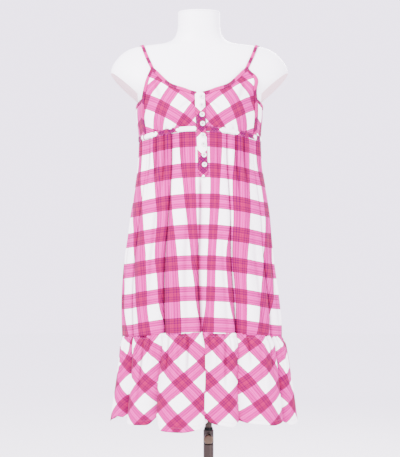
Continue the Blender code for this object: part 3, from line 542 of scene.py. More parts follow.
def ring_point(ring, azimuth):
    """Points on rings at azimuths in degrees, as (x from the centre, y)."""
    turn = np.radians(azimuth)
    across, along = np.sin(turn), np.cos(turn)
    x = ring.half * power(across, 2.0 / ROUNDNESS)
    depth = np.where(along > 0, ring.front, ring.back)
    return x, -depth * power(along, 2.0 / ROUNDNESS)


def bust(x, height):
    """How far the bust stands out at a distance x from the centre."""
    width = BUST_RADIUS * math.sqrt(2)
    spread = sum(bell(x - side * BUST_SPREAD, width) for side in (-1, 1))
    return BUST_DEPTH * spread * bell(height - BUST_HEIGHT, width)


def soft_max(a, b):
    """The larger of two lengths, rounded where they cross."""
    return (a + b + np.sqrt((a - b) ** 2 + SURFACE_BLEND**2)) / 2


def front_reach(x, height):
    """How far the bodice's cloth reaches forward at x from the centre."""
    form = reach(ring_at(FORM, height), x, -1) + CLEARANCE
    return soft_max(reach(ring_at(DRESS, height), x, -1), form) + bust(x, height)


def bodice_point(azimuth, height):
    """Points on the dress's rings, moved out where the bust and shoulders need it: (x, y)."""
    ring = ring_at(DRESS, height)
    x, y = ring_point(ring, azimuth)
    form = reach(ring_at(FORM, height), x, 1) + CLEARANCE
    extra = np.where(y < 0, front_reach(x, height) + y, soft_max(y, form) - y)
    from_side = np.abs(np.cos(np.radians(azimuth))) / math.cos(math.radians(SIDE_SEAM))
    return ring.centre + x, y + np.where(y < 0, -1, 1) * extra * np.minimum(from_side, 1.0)


def bodice_points(azimuth, height):
    """The same points with their heights."""
    return np.stack([*bodice_point(azimuth, height), height], axis=-1)


def band_top(azimuth):
    """The height of the empire band's top edge."""
    return BAND_TOP_SIDE + BAND_ARCH * np.maximum(np.cos(np.radians(azimuth)), 0.0) ** 3


def arch(azimuth):
    """How much the cloth's grain rises towards the centre front, 0 to 1."""
    return np.maximum(np.cos(np.radians(azimuth)), 0.0) ** 2


def push_out(ring, x, y, height, distance):
    """Ring points moved straight out from the ring, with their heights."""
    depth = np.where(y < 0, ring.front, ring.back)
    out_x, out_y = x / ring.half**2, y / depth**2
    length = np.hypot(out_x, out_y)
    x = ring.centre + x + out_x / length * distance
    return np.stack([x, y + out_y / length * distance, height], axis=-1)


# --- The skirt's and the flounce's surfaces -------------------------------------------------------


def between(name, column):
    """A column of the creases at the crease before and the one after, and the share of the way."""
    values = [getattr(crease, name) for crease in CREASES]
    turn = FULL_TURN if name in ("skirt", "flounce") else 0.0
    values = np.array(values + [values[0] + turn])
    before = np.minimum(np.floor(column).astype(int), len(CREASES) - 1)
    return values[before], values[before + 1], column - before


def panel_azimuth(column, turned):
    """The azimuth of each column, from its place in the skirt (turned 0) to the flounce's (1)."""
    low, high, share = between("skirt", column)
    skirt = low + (high - low) * share
    low, high, share = between("flounce", column)
    return skirt + (low + (high - low) * share - skirt) * turned


def near_creases(name, column, radius):
    """How far each point lies from the crease before it and from the one after it."""
    start, end, share = between(name, column)
    arc = np.radians(end - start) * radius
    return share * arc, (1.0 - share) * arc


def crown(share, sharpness):
    """The rounded rise of a fold between its two creases, 0 to 1."""
    return np.sin(np.pi * np.clip(share, 0.0, 1.0)) ** sharpness


def waves(rows, across, down):
    """The height of troughs and ridges at places across the cloth and shares of the way down."""
    total = np.zeros(np.broadcast(across, down).shape)
    for row in rows:
        length = (row.end - row.start) / 2
        along = np.clip(1.0 - ((down - row.start - length) / length) ** 2, 0.0, 1.0)
        total += row.depth * along * bell(across - row.place, row.width)
    return total


def hidden_waves(seed, places, shift, start, end, width, depth, first):
    """Waves on the hidden sides, as uneven as the front's: each pair is a range drawn by a seed."""
    columns = []
    for limits in ((-shift, shift), start, end, width, depth):
        if isinstance(limits, tuple):
            columns.append(np.random.RandomState(seed).uniform(*limits, len(places)))
            seed += 1
        else:
            columns.append(np.full(len(places), limits))
    columns[0] += places
    columns[-1] *= np.where(np.arange(len(places)) % 2, -first, first)
    return [Wave(*row) for row in zip(*columns)]


def pleats(turns, fade):
    """Uneven little pleats that fade below a seam, with some stretches of cloth almost flat."""
    swing = np.sin(2 * np.pi * turns + 1.7 * np.sin(turns * 0.83) + 1.1 * np.sin(turns * 2.31 + 1.0))
    height = PLEATS * (0.55 + 0.45 * np.sin(turns * 1.13 + 0.6))
    return swing * height * np.clip(1.0 - fade, 0.0, 1.0) ** 1.3


BACK_GATHERS = hidden_waves(
    11, np.arange(93.0, 268.0, 6.4), 1.9, -0.05, (0.14, 0.40), (1.2, 1.9), (0.0014, 0.0028), -1
)
BACK_FOLDS = hidden_waves(
    15, np.arange(98.0, 264.0, 15.0), 3.0, (0.10, 0.45), 1.22, (2.6, 4.4), (0.0016, 0.0030), 1
)
BACK_FLUTES = hidden_waves(
    21, np.arange(6.22, 11.95, 0.27), 0.06, -0.10, (0.35, 0.80), (0.042, 0.062), (0.0024, 0.0036), -1
)
SKIRT_WAVES = FRONT_GATHERS + FRONT_FOLDS + BACK_GATHERS + BACK_FOLDS
FLOUNCE_WAVES = FRONT_FLUTES + BACK_FLUTES


def skirt_surface(column, down):
    """Points of the skirt, and their azimuths: down is 0 at the band and 1 at the flounce's seam."""
    azimuth = panel_azimuth(column, SEAM_TURN * down**2)
    top = band_top(azimuth) - BAND_HEIGHT + TUCK
    bottom = SKIRT_BOTTOM + SKIRT_ARCH * arch(azimuth)
    height = top + (bottom - top) * down
    ring = ring_at(DRESS, height)
    x, y = bodice_point(azimuth, height)
    x = x - ring.centre
    bulge, _, share = between("skirt_bulge", column)
    bulge = bulge * crown(share, SKIRT_CROWN) * down**1.3
    low, high, _ = between("middle", column)
    near_low, near_high = near_creases("skirt", column, SKIRT_RADIUS)
    trough = low * np.exp(-near_low / CREASE_WIDTH) + high * np.exp(-near_high / CREASE_WIDTH)
    trough *= np.interp(down, *TROUGH_BY_DROP)
    # The cloth stays flat behind the placket
    beside = np.where(y < 0, np.clip(np.abs(x) / PLACKET_WIDTH - 1.0, 0.0, 1.0), 1.0)
    below = np.interp(height, PLACKET_FADE, [1.0, 0.0])
    ripples = SKIRT_RIPPLES * waves(SKIRT_WAVES, azimuth, down)
    ripples = ripples + pleats(azimuth / PLEAT_STEP, down / PLEAT_END)
    distance = bulge + (ripples - trough) * np.maximum(beside, below)
    return push_out(ring, x, y, height, distance), azimuth


def hem_height(column):
    """The hem's height, softened a little between its marks."""
    marks = np.array(HEM.split(), float)
    shifts = np.array([-1.0, -0.5, 0.0, 0.5, 1.0]) * HEM_SOFTNESS
    return np.mean([np.interp(column + shift, marks[::2], marks[1::2]) for shift in shifts], axis=0)


def flounce_surface(column, down):
    """Points of the flounce, and their azimuths: down is 0 at its seam and 1 at the hem."""
    azimuth = panel_azimuth(column, SEAM_TURN + (1.0 - SEAM_TURN) * np.minimum(down * TURN_SPEED, 1.0))
    open_share = np.interp(down, *OPENING_BY_DROP)
    trough, turned = 0.0, 0.0
    low, high, _ = between("low", column)
    over_low, over_high, share = between("over", column)
    near_low, near_high = near_creases("flounce", column, FLOUNCE_RADIUS)
    # At a lap the upper side keeps its height and turns in sharply, the under side sinks slowly
    for deep, near, over in ((low, near_low, over_low), (high, near_high, -over_high)):
        fall = np.exp(-near / (np.where(over > 0, 1.0, LAP_SHARPNESS) * FLOUNCE_CREASE_WIDTH))
        trough = trough + deep * np.where(over < 0, LAP_DEPTH, 1.0) * fall
        turned = np.abs(over) * fall - turned
    azimuth = azimuth + open_share * turned
    top = SKIRT_BOTTOM + SKIRT_ARCH * arch(azimuth) - 2 * GAP
    height = top + (hem_height(column) - top) * down
    level = np.minimum(SKIRT_BOTTOM + (height - top), FLOUNCE[0].height)
    ring = ring_at(FLOUNCE, level)
    x, y = ring_point(ring, azimuth)
    upper, lower = between("skirt_bulge", column)[0], between("flounce_bulge", column)[0]
    bulge = (upper + (lower - upper) * down**0.8) * crown(share, FLOUNCE_CROWN)
    gathered = pleats(azimuth / FLOUNCE_PLEAT_STEP + 0.4, down / FLOUNCE_PLEAT_END)
    ripples = FLOUNCE_RIPPLES * waves(FLOUNCE_WAVES, column, down) + FLOUNCE_PLEATS * gathered
    return push_out(ring, x, y, height, bulge + ripples - trough * open_share), azimuth


# --- Meshes ---------------------------------------------------------------------------------------


@contextmanager
def edited(mesh):
    """The mesh as a bmesh to change, written back at the end."""
    solid = bmesh.new()
    solid.from_mesh(mesh)
    yield solid
    solid.to_mesh(mesh)
    solid.free()


def added(name, mesh):
    """A new object in the scene."""
    made = bpy.data.objects.new(name, mesh)
    bpy.context.scene.collection.objects.link(made)
    return made


def new_piece(name, mesh, material, body="dressed_form", replaces=True):
    """A piece on a body, in place of the CAD node of its name."""
    piece = added(name + "_seen", mesh)
    mesh.materials.append(material)
    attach(piece, body)
    if replaces:
        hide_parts(name)
    return piece


def grid_mesh(name, points, check=None, closed=False):
    """A sheet through rows of points, facing out, with its check coordinates in a UV map."""
    rows, columns = points.shape[:2]
    index = np.arange(rows * columns).reshape(rows, columns)
    if closed:
        index = np.concatenate([index, index[:, :1]], axis=1)
    corners = np.stack([index[:-1, :-1], index[1:, :-1], index[1:, 1:], index[:-1, 1:]], axis=-1)
    faces = corners.reshape(-1, 4)
    mesh = bpy.data.meshes.new(name)
    mesh.from_pydata(points.reshape(-1, 3).tolist(), [], faces.tolist())
    if check is not None:
        layer = mesh.uv_layers.new(name="check")
        places = check.reshape(-1, 2)[faces.reshape(-1)]
        layer.data.foreach_set("uv", places.astype(np.float32).ravel())
    mesh.shade_smooth()
    return mesh


def close(mesh, weld=0.0):
    """Joins points that fall together, closes what is open and turns the faces out."""
    with edited(mesh) as solid:
        if weld:
            bmesh.ops.remove_doubles(solid, verts=solid.verts, dist=weld)
        bmesh.ops.holes_fill(solid, edges=[edge for edge in solid.edges if edge.is_boundary], sides=0)
        bmesh.ops.recalc_face_normals(solid, faces=solid.faces)


def bars(name, radius, length, segments, matrices):
    """Short round bars in one mesh."""
    mesh = bpy.data.meshes.new(name)
    sizes = {"radius1": radius, "radius2": radius, "depth": length, "segments": segments}
    with edited(mesh) as solid:
        for matrix in matrices:
            bmesh.ops.create_cone(solid, cap_ends=True, matrix=matrix, **sizes)
    return mesh


def cut_away(piece, mesh):
    """Cuts a closed mesh out of a piece."""
    cutter = added("cutter", mesh)
    cut = piece.modifiers.new("cut", "BOOLEAN")
    cut.operation = "DIFFERENCE"
    cut.solver = "EXACT"
    cut.object = cutter
    depsgraph = bpy.context.evaluated_depsgraph_get()
    mesh = bpy.data.meshes.new_from_object(piece.evaluated_get(depsgraph))
    piece.modifiers.remove(cut)
    piece.data = mesh
    bpy.data.objects.remove(cutter, do_unlink=True)


def outward(points):
    """The sheet's normals at its points."""
    out = np.cross(np.gradient(points, axis=0), np.gradient(points, axis=1))
    return out / np.maximum(np.linalg.norm(out, axis=2, keepdims=True), 1e-12)


def row_length(points, middle):
    """The distance along each row of points, from 0 at the middle column."""
    steps = np.linalg.norm(np.diff(points, axis=1), axis=2)
    length = np.concatenate([np.zeros((len(points), 1)), np.cumsum(steps, axis=1)], axis=1)
    return length - length[:, middle : middle + 1]


def drop_length(points):
    """The distance down each column of points."""
    return row_length(points.swapaxes(0, 1), 0).T


def along_path(places, run, values):
    """Points or directions read at places along a path."""
    return np.stack([np.interp(places, run, values[:, axis]) for axis in range(3)], axis=-1)


def fold_shade_depths(points):
    """How far each point lies down in a fold, 0 to 1, from the points a little to its sides: the mask for
    painted fold shade.
    """
    run = row_length(points, 0)
    normals = outward(points)
    total = np.zeros(points.shape[:2])
    for aside, full in FOLD_SHADE_SCALES:
        for row, line in enumerate(points):
            sides = [along_path(run[row] + step, run[row], line) for step in (-aside, aside)]
            depth = np.sum(((sides[0] + sides[1]) / 2 - line) * normals[row], axis=1)
            total[row] += np.clip(depth / full, 0.0, 1.0)
    return np.clip(total / 2.0, 0.0, 1.0)


def cloth(name, points, check, material, slot, thickness=SHELL, offset=1.0):
    """A cloth piece: a sheet with a small thickness outside its points, or inside for -1."""
    mesh = grid_mesh(name, points, check)
    # Painted shade: the check cotton gets how deep each point lies in a fold, which its material darkens
    if slot == "plaid_cotton":
        fold_shade = mesh.attributes.new("fold_shade", "FLOAT", "POINT")
        fold_shade.data.foreach_set("value", fold_shade_depths(points).astype(np.float32).ravel())
    piece = new_piece(name, mesh, material)
    wall = piece.modifiers.new("wall", "SOLIDIFY")
    wall.thickness = thickness
    wall.offset = offset
    wall.use_even_offset = False
    return piece


def stitches(name, path, out, lift, thread, length=0.0021, gap=0.0011):
    """A row of thread stitches along a path of points, lifted to the side that out points to."""
    path = path + out * lift
    steps = np.linalg.norm(np.diff(path, axis=0), axis=1)
    run = np.concatenate([[0.0], np.cumsum(steps)])
    starts = np.arange(gap, run[-1] - length, length + gap)
    # Each stitch has four rings of four points: it rises, runs level and dives in again
    places = (starts[:, None] + np.array([0.0, 0.18, 0.82, 1.0]) * length).ravel()
    rise = np.tile([0.0, 0.8, 0.8, 0.0], len(starts))[:, None] * STITCH
    up = along_path(places, run, out)
    up /= np.linalg.norm(up, axis=1, keepdims=True)
    across = np.cross(along_path(places, run, np.gradient(path, run, axis=0)), up)
    across /= np.linalg.norm(across, axis=1, keepdims=True)
    middle = along_path(places, run, path) + up * rise
    turns = [(1, 0), (0, 1), (-1, 0), (0, -1)]
    rings = np.stack([middle + (across * a + up * b * 0.7) * STITCH for a, b in turns], axis=1)
    points, faces = rings.reshape(-1, 3), []
    for first in range(0, len(points), 16):
        for ring in (first, first + 4, first + 8):
            for a, b in ((0, 1), (1, 2), (2, 3), (3, 0)):
                faces.append((ring + a, ring + a + 4, ring + b + 4, ring + b))
        faces += [(first, first + 1, first + 2, first + 3), (first + 15, first + 14, first + 13, first + 12)]
    mesh = bpy.data.meshes.new(name)
    mesh.from_pydata(points.tolist(), [], faces)
    mesh.shade_smooth()
    return new_piece(name, mesh, thread, replaces=False)


def lathe(name, profile, material, body, segments=96, matrix=None, ribs=None):
    """A turned piece from (radius, height) down its side; ribs is (count, depth, low, high)."""
    angle = 2 * math.pi * np.arange(segments) / segments
    points = []
    for radius, height in profile:
        edge = np.full(segments, max(radius, 1e-5))
        if ribs and ribs[2] <= height <= ribs[3]:
            edge = edge - ribs[1] * (0.5 - 0.5 * np.cos(ribs[0] * angle)) ** 2
        level = np.full(segments, height)
        points.append(np.stack([edge * np.cos(angle), edge * np.sin(angle), level], axis=-1))
    mesh = grid_mesh(name, np.array(points), closed=True)
    mesh.set_sharp_from_angle(angle=SHARP)
    if matrix is not None:
        mesh.transform(matrix)
    return new_piece(name, mesh, material, body)


def facing(place, direction):
    """The matrix that puts a piece at a place, with its +Z turned to a direction."""
    turn = Vector((0, 0, 1)).rotation_difference(direction)
    return Matrix.Translation(place) @ turn.to_matrix().to_4x4()


# --- The check and the panels ---------------------------------------------------------------------


def bias_check(u, v, u_start=0.0, v_start=0.0):
    """Check coordinates in repeats, for cloth turned by 45 degrees, from metres on the cloth."""
    turn = math.radians(45.0)
    u, v = u - u_start, v - v_start
    warp = u * math.cos(turn) + v * math.sin(turn)
    weft = v * math.cos(turn) - u * math.sin(turn)
    return np.stack([warp / REPEAT, weft / REPEAT], axis=-1)


def straight_check(points, middle=0, warp_start=0.0, weft_start=0.0):
    """Check coordinates in repeats along the rows and down the columns of points."""
    warp = row_length(points, middle) / REPEAT + warp_start
    return np.stack([warp, drop_length(points) / REPEAT + weft_start], axis=-1)


def softened(rows, aside=8):
    """Rows of values with the corners between them rounded, kept straight at both ends."""
    first, last = rows[:1], rows[-1:]
    before, after = 2 * first - rows[aside:0:-1], 2 * last - rows[-2 : -aside - 2 : -1]
    total = np.cumsum(np.concatenate([np.zeros_like(first), before, rows, after]), axis=0)
    return (total[2 * aside + 1 :] - total[: -2 * aside - 1]) / (2 * aside + 1)


def front_warp(column, down):
    """Check repeats across the skirt's front, from its table of marks."""
    marks = [np.array(row.split(), float) for row in SKIRT_MARKS.values()]
    rows = np.array([np.interp(column[0], row[::2], row[1::2]) for row in marks])
    warp = [np.interp(down[:, 0], list(SKIRT_MARKS), values) for values in rows.T]
    return softened(np.stack(warp, axis=1))


def back_warp(points, column, down):
    """Check repeats across the skirt's back: the cloth's own length, and what its creases hide."""
    repeats = row_length(points, points.shape[1] // 2) / REPEAT
    for crease, (high, low) in BACK_LOST.items():
        lost = high + (low - high) * down
        repeats += lost * np.clip((column - crease) / 0.01 + 0.5, 0.0, 1.0)
    return repeats


def panel_grid(start, end, per_lobe, shares):
    """Columns and shares of the way down for a panel between two creases, closest near creases."""
    steps = (1.0 - np.cos(np.pi * np.arange(per_lobe) / per_lobe)) / 2
    column = np.concatenate([i + steps for i in range(start, end)] + [[float(end)]])
    column[0] += SEAM_GAP
    column[-1] -= SEAM_GAP
    return np.meshgrid(column, shares)


def skirt_panel(name, start, end, columns, rows, material):
    """One of the skirt's two panels, from crease number to crease number."""
    column, down = panel_grid(start, end, columns, np.linspace(0.0, 1.0, rows))
    points, azimuth = skirt_surface(column, down)
    warp = front_warp(column, down) if start == 0 else back_warp(points, column, down)
    # The weft's bands lie a little farther apart at the sides
    weft_repeat = REPEAT * (WEFT_STRETCH + WEFT_SIDE_STRETCH * (1.0 - arch(azimuth)))
    weft = (points[0, :, 2] - points[:, :, 2]) / weft_repeat - WEFT_START
    return cloth(name, points, np.stack([warp, weft], axis=-1), material, "plaid_cotton", offset=-1.0)


def flounce_panel(name, start, end, columns, rows, material, thread):
    """One of the flounce's two panels, cut on the bias, with its two rows of stitches."""
    column, down = panel_grid(start, end, columns, np.linspace(-0.02, 1.0, rows))
    down = np.maximum(down, 0.0)
    points, azimuth = flounce_surface(column, down)
    # The first row turns in under the skirt's edge
    points[0, :, 2] += TUCK_UP
    points[0, :, :2] *= TUCK_IN
    check = flounce_check(points, azimuth, column, down)
    inner = slice(2, -2)
    for word, row in (("seam", 3), ("hem", rows - 4)):
        out = outward(points)[row, inner]
        stitches(f"{name}_{word}_stitches", points[row, inner], out, 0.0001, thread, HEM_STITCH)
    return cloth(name, points, check, material, "plaid_cotton", offset=-1.0)


def flounce_check(points, azimuth, column, down):
    """Bias repeats around and down the flounce, held to the marks at the front."""
    ring = ring_at(FLOUNCE, np.clip(points[..., 2], FLOUNCE[-1].height, FLOUNCE[0].height))
    flat = np.stack(ring_point(ring, azimuth), axis=-1)
    around = row_length(flat, points.shape[1] // 2) * FLOUNCE_EASE / BIAS_REPEAT
    held = around.copy()
    for lobe, marks in enumerate(FLOUNCE_MARKS):
        if column[0, 0] > lobe + 1:
            continue
        shares, shifts = [], []
        for share, number, repeats in marks:
            row = int(np.argmin(np.abs(down[:, 0] - share)))
            shares.append(share)
            shifts.append(repeats - np.interp(number, column[0], around[row]))
        inside = (column >= lobe) & (column < lobe + 1)
        shift = softened(np.interp(down[:, :1], shares, shifts))
        held = np.where(inside, around + shift, held)
    fall = (drop_length(points) - FLOUNCE_START) * FLOUNCE_EASE / BIAS_REPEAT
    return np.stack([held + fall, fall - held], axis=-1)


# --- The bodice -----------------------------------------------------------------------------------


def cup_points(side, alongs, shares):
    """Points of a cup, from its top edge (share 0) to the band (share 1), left to right."""
    along, share = np.meshgrid(alongs, shares)
    seam = math.sin(math.radians(SIDE_SEAM)) ** (2.0 / ROUNDNESS)
    azimuth = np.degrees(np.arcsin((along * seam) ** (ROUNDNESS / 2.0)))
    top = read(NECKLINE, "along", "height", along)
    height = top + (band_top(azimuth) - TUCK - top) * share
    ring = ring_at(DRESS, height)
    x = np.maximum(along * (ring_point(ring, SIDE_SEAM)[0] - GAP), GAP)
    forward = front_reach(x, height)
    bulge = ARM_BULGE[side] * along**4 * bell(height - ARM_BULGE_HEIGHT, ARM_BULGE_REACH)
    x = x + bulge * np.clip(share / BULGE_START, 0.0, 1.0)
    rise = cup_wrinkles(x + side * (ring.centre - CUP_MIDDLE), height)
    points = np.stack([ring.centre + side * x, -forward - rise, height], axis=-1)
    return points[:, ::side]


def cup_wrinkles(x, height):
    """How high a cup's gathers and pulls stand, at a distance x from the line between the cups."""
    rise = np.zeros_like(x)
    for row in CUP_GATHERS:
        fade = np.clip((row.top - height) / (row.top - GATHER_FOOT), 0.0, 1.0) ** 1.4
        rise += CUP_RIPPLES * row.depth * fade * bell(x - row.place, row.width)
    for row in CUP_PULLS:
        way = np.array([row.end_x - row.x, row.end_height - row.height])
        length = np.hypot(*way)
        way /= length
        along = (x - row.x) * way[0] + (height - row.height) * way[1]
        aside = (x - row.x) * way[1] - (height - row.height) * way[0]
        rise += row.depth * bell(aside, row.width) * np.clip(1.0 - (2 * along / length - 1.0) ** 2, 0, 1)
    return rise


def cup_check(points, side):
    """Check repeats on a cup: bands that cross at one marked place, and fan out from the gathers."""
    cross_x, cross_z = CUP_CROSSINGS[side]
    nearest = int(np.argmin(np.abs(points[points.shape[0] // 2, :, 0] - cross_x)))
    around = row_length(points, nearest) + points[:, nearest : nearest + 1, 0] - cross_x
    inward, rise = -side * around, points[..., 2] - cross_z
    line = CUP_LINE[0] * rise + CUP_LINE[1] * rise**2
    fanned = np.clip(CUP_FAN[0] + CUP_FAN[1] * rise, *CUP_FAN_LIMITS)
    warp = (inward - line) / np.where(inward > line, fanned, CUP_WARP)
    slope = CUP_SLOPE[0] * inward + CUP_SLOPE[1] * np.clip(inward, *CUP_SLOPE_LIMITS) ** 2
    return np.stack([warp, -(rise + slope) / CUP_WEFT], axis=-1)


def edge_strip(points):
    """Rows of points from a sheet's top edge to a binding's width below it."""
    columns = list(zip(points.swapaxes(0, 1), drop_length(points).T))
    rows = []
    for distance in np.linspace(0.0, 1.0, 6) * BINDING_WIDTH:
        rows.append([along_path(distance, lengths, column) for column, lengths in columns])
    return np.array(rows)


def binding(name, points, material, thread):
    """A folded binding over a sheet's edge: rounded across, with a row of stitches."""
    share = np.linspace(0.0, 1.0, len(points))[:, None, None]
    raised = points + outward(points) * (BINDING_LIFT + BINDING_SWELL * np.sin(np.pi * share) ** 0.6)
    check = straight_check(raised, weft_start=-0.06)
    piece = cloth(name, raised, check, material, "plaid_trim", TRIM)
    low = len(points) - 2
    stitches(f"{name}_stitches", raised[low], outward(raised)[low], TRIM, thread)
    return piece


def make_cups(material, trim, thread):
    """The two cups, with the bindings along their necklines and outer edges, and their sheets."""
    edge = 1.0 - BINDING_WIDTH / ring_at(DRESS, np.array([BUST_HEIGHT])).half[0]
    alongs = np.concatenate([np.linspace(0.0, edge, 70), np.linspace(edge, 1.0, 8)[1:]])
    first = int(np.searchsorted(alongs, BINDING_START * 0.35))
    last = int(np.searchsorted(alongs, edge))
    sheets = []
    for side, word in ((-1, "left"), (1, "right")):
        points = cup_points(side, alongs, np.linspace(0.0, 1.0, 64))
        cup = cloth(f"cup_{word}", points, cup_check(points, side), material, "plaid_cotton")
        ordered = points[:, ::side]
        start = int(np.searchsorted(drop_length(ordered)[:, -1], BINDING_WIDTH + 0.0004))
        neck = edge_strip(ordered[:, first:])[:, ::side]
        arm = ordered[start:-1, last:][:, ::side]
        check = straight_check(arm, warp_start=-0.06)
        bound = [binding(f"neck_binding_{word}", neck, trim, thread)]
        raised = arm + outward(arm) * CLOTH
        bound.append(cloth(f"armhole_binding_{word}", raised, check, trim, "plaid_trim", TRIM))
        sheets.append((cup, (0.150, 0.155), 0.0180, bound))
    return sheets


def make_back(material, trim, thread):
    """The back of the bodice with its top binding, and its sheet."""
    seam = SIDE_SEAM + SEAM_HALF_ANGLE
    azimuth, share = np.meshgrid(np.linspace(seam, FULL_TURN - seam, 200), np.linspace(0.0, 1.0, 34))
    top = read(BACK_EDGE, "along", "height", np.minimum(azimuth, FULL_TURN - azimuth))
    points = bodice_points(azimuth, top + (band_top(azimuth) - TUCK - top) * share)
    points = points + outward(points) * waves(BACK_WRINKLES, azimuth, share)[..., None]
    check = straight_check(points, 100, 0.3, 0.1)
    back = cloth("bodice_back", points, check, material, "plaid_cotton")
    return [(back, (0.53, 0.093), 0.0455, [binding("back_binding", edge_strip(points), trim, thread)])]


def make_bands(trim, thread):
    """The narrow empire band under the bust, in three pieces, and their sheets."""
    front, back = SIDE_SEAM - SEAM_HALF_ANGLE, SIDE_SEAM + SEAM_HALF_ANGLE
    # name, azimuths of both ends, columns, the column where the check starts, and its start there
    pieces = [
        ("band_front_left", -front, -SEAM_HALF_ANGLE, 90, -1, -0.079),
        ("band_front_right", SEAM_HALF_ANGLE, front, 90, 0, 0.021),
        ("band_back", back, FULL_TURN - back, 200, 0, 0.0),
    ]
    sheets = []
    for name, start, end, columns, middle, phase in pieces:
        azimuth, share = np.meshgrid(np.linspace(start, end, columns), np.linspace(0.0, 1.0, 7))
        points = bodice_points(azimuth, band_top(azimuth) - BAND_HEIGHT * share)
        swell = BAND_LIFT + BAND_SWELL * np.sin(np.pi * share) ** 0.5
        points = points + outward(points) * swell[..., None]
        around = row_length(points, middle % columns)
        check = bias_check(around, share * BAND_HEIGHT, phase, BAND_HEIGHT / 2)
        piece = cloth(name, points, check, trim, "plaid_trim")
        for word, row in (("top", 1), ("bottom", 5)):
            stitches(f"{name}_{word}_stitches", points[row], outward(points)[row], SHELL, thread)
        sheets.append((piece, (round(float(np.ptp(around)), 3), 0.012), None, []))
    return sheets


# --- Placket, buttons and straps ------------------------------------------------------------------


def placket_middle(height):
    """How far the placket's middle lies from the dress's centre."""
    share = (NECKLINE[0].height - height) / (NECKLINE[0].height - PLACKET_BOTTOM)
    return PLACKET_START + PLACKET_LEAN * share


def centre_front(x, height):
    """How far the dress reaches forward near its centre: the bodice, then the skirt."""
    ring = ring_at(DRESS, height)
    azimuth = np.degrees(np.arcsin(power(np.clip(x / ring.half, -1, 1), ROUNDNESS / 2.0)))
    below = -bodice_point(azimuth, height)[1]
    return np.where(height > BAND_TOP_SIDE, front_reach(x, height), below)


def placket_reach(height):
    """How far the placket's inner face reaches forward at each height: flat from side to side."""
    across = placket_middle(height)[:, None] + np.linspace(-PLACKET_WIDTH, PLACKET_WIDTH, 9) / 2
    reaches = centre_front(across, np.broadcast_to(height[:, None], across.shape))
    near = reaches.max(axis=1) + TRIM + 2 * GAP
    return np.convolve(np.pad(near, 3, mode="edge"), np.ones(7) / 7, mode="valid")


def make_placket(material, thread):
    """The bias placket down the centre front: its heights, outer face, middle and sheet."""
    height = np.linspace(NECKLINE[0].height, PLACKET_BOTTOM, 110)
    near = placket_reach(height)
    across = np.linspace(-0.5, 0.5, 19)
    x, z = np.meshgrid(across * PLACKET_WIDTH, height)
    x *= np.clip((z - PLACKET_BOTTOM) / PLACKET_POINT, 0.03, 1.0)
    swell = PLACKET_SWELL * (1.0 - np.abs(across * 2) ** 6)
    pucker = PUCKER * np.sin(z * 420.0 + np.sin(z * 95.0) * 2.0) * np.abs(across * 2) ** 2
    y = -(near[:, None] + swell + pucker)
    centre = ring_at(DRESS, height).centre + placket_middle(height)
    points = np.stack([centre[:, None] + x, y, z], axis=-1)
    check = bias_check(x - PLACKET_CROSSING[0], PLACKET_CROSSING[1] - z)
    piece = cloth("placket", points, check, material, "plaid_trim", PLACKET_THICKNESS)
    for word, column in (("left", 2), ("right", -3)):
        edge = points[2:-8, column]
        out = np.broadcast_to([0.0, -1.0, 0.0], edge.shape)
        stitches(f"placket_{word}_stitches", edge, out, PLACKET_THICKNESS, thread)
    front = near + PLACKET_SWELL + PLACKET_THICKNESS
    return height, front, centre, [(piece, (0.022, 0.196), None, [])]


def make_buttons(heights, front, centre, shell, thread):
    """Eight sewn-on buttons, each with a rim, a dished middle, four holes and its thread."""

    def at(level):
        """The placket's face at a height, where the buttons are sewn."""
        forward = np.interp(level, heights[::-1], front[::-1])
        return Vector((np.interp(level, heights[::-1], centre[::-1]) + BUTTON_OFFSET, -forward, level))

    profile = [(BUTTON_RADIUS * across, BUTTON_THICKNESS * up) for across, up in BUTTON_PROFILE]
    hole = BUTTON_RADIUS * BUTTON_HOLE_PLACE
    holes = [Matrix.Translation((hole * a, hole * b, 0.0)) for a in (-1, 1) for b in (-1, 1)]
    threads = []
    for slope in (-45, 45):
        turn = Matrix.Rotation(math.radians(slope), 4, "Z") @ Matrix.Rotation(math.pi / 2, 4, "X")
        for shift in (-THREAD_ASIDE, THREAD_ASIDE):
            threads.append(Matrix.Translation((shift, 0.0, BUTTON_THICKNESS * 0.66)) @ turn)
    for number, height in enumerate(BUTTON_HEIGHTS, 1):
        up = at(height + BUTTON_RADIUS) - at(height - BUTTON_RADIUS)
        out = Vector((1, 0, 0)).cross(up).normalized()
        seat = facing(at(height) + out * BUTTON_LIFT, out)
        name = f"button_{number}"
        button = lathe(name, profile, shell, "dressed_form", 48, seat)
        drills = [seat @ place for place in holes]
        cut_away(button, bars("drills", BUTTON_RADIUS * BUTTON_HOLE, BUTTON_THICKNESS * 3, 20, drills))
        button.data.set_sharp_from_angle(angle=SHARP)
        name = f"button_thread_{number}"
        mesh = bars(name, THREAD_RADIUS, hole * 2.9, 8, [seat @ place for place in threads])
        mesh.shade_smooth()
        new_piece(name, mesh, thread, replaces=False)


def strap_surface(x, angle):
    """Where a strap lies on the form, at an angle over the shoulder."""
    near, far = 0.0, STRAP_SEARCH
    way_y, way_z = -math.cos(angle), math.sin(angle)
    for _ in range(40):
        middle = (near + far) / 2
        y, z = way_y * middle, SHOULDER_CORE + way_z * middle
        ring = ring_at(FORM, np.array([z]))
        from_centre = x - ring.centre[0]
        within = abs(y) < reach(ring, from_centre, y)[0]
        if within and abs(from_centre) < ring.half[0]:
            near = middle
        else:
            far = middle
    return Vector((x, way_y * near, SHOULDER_CORE + way_z * near))


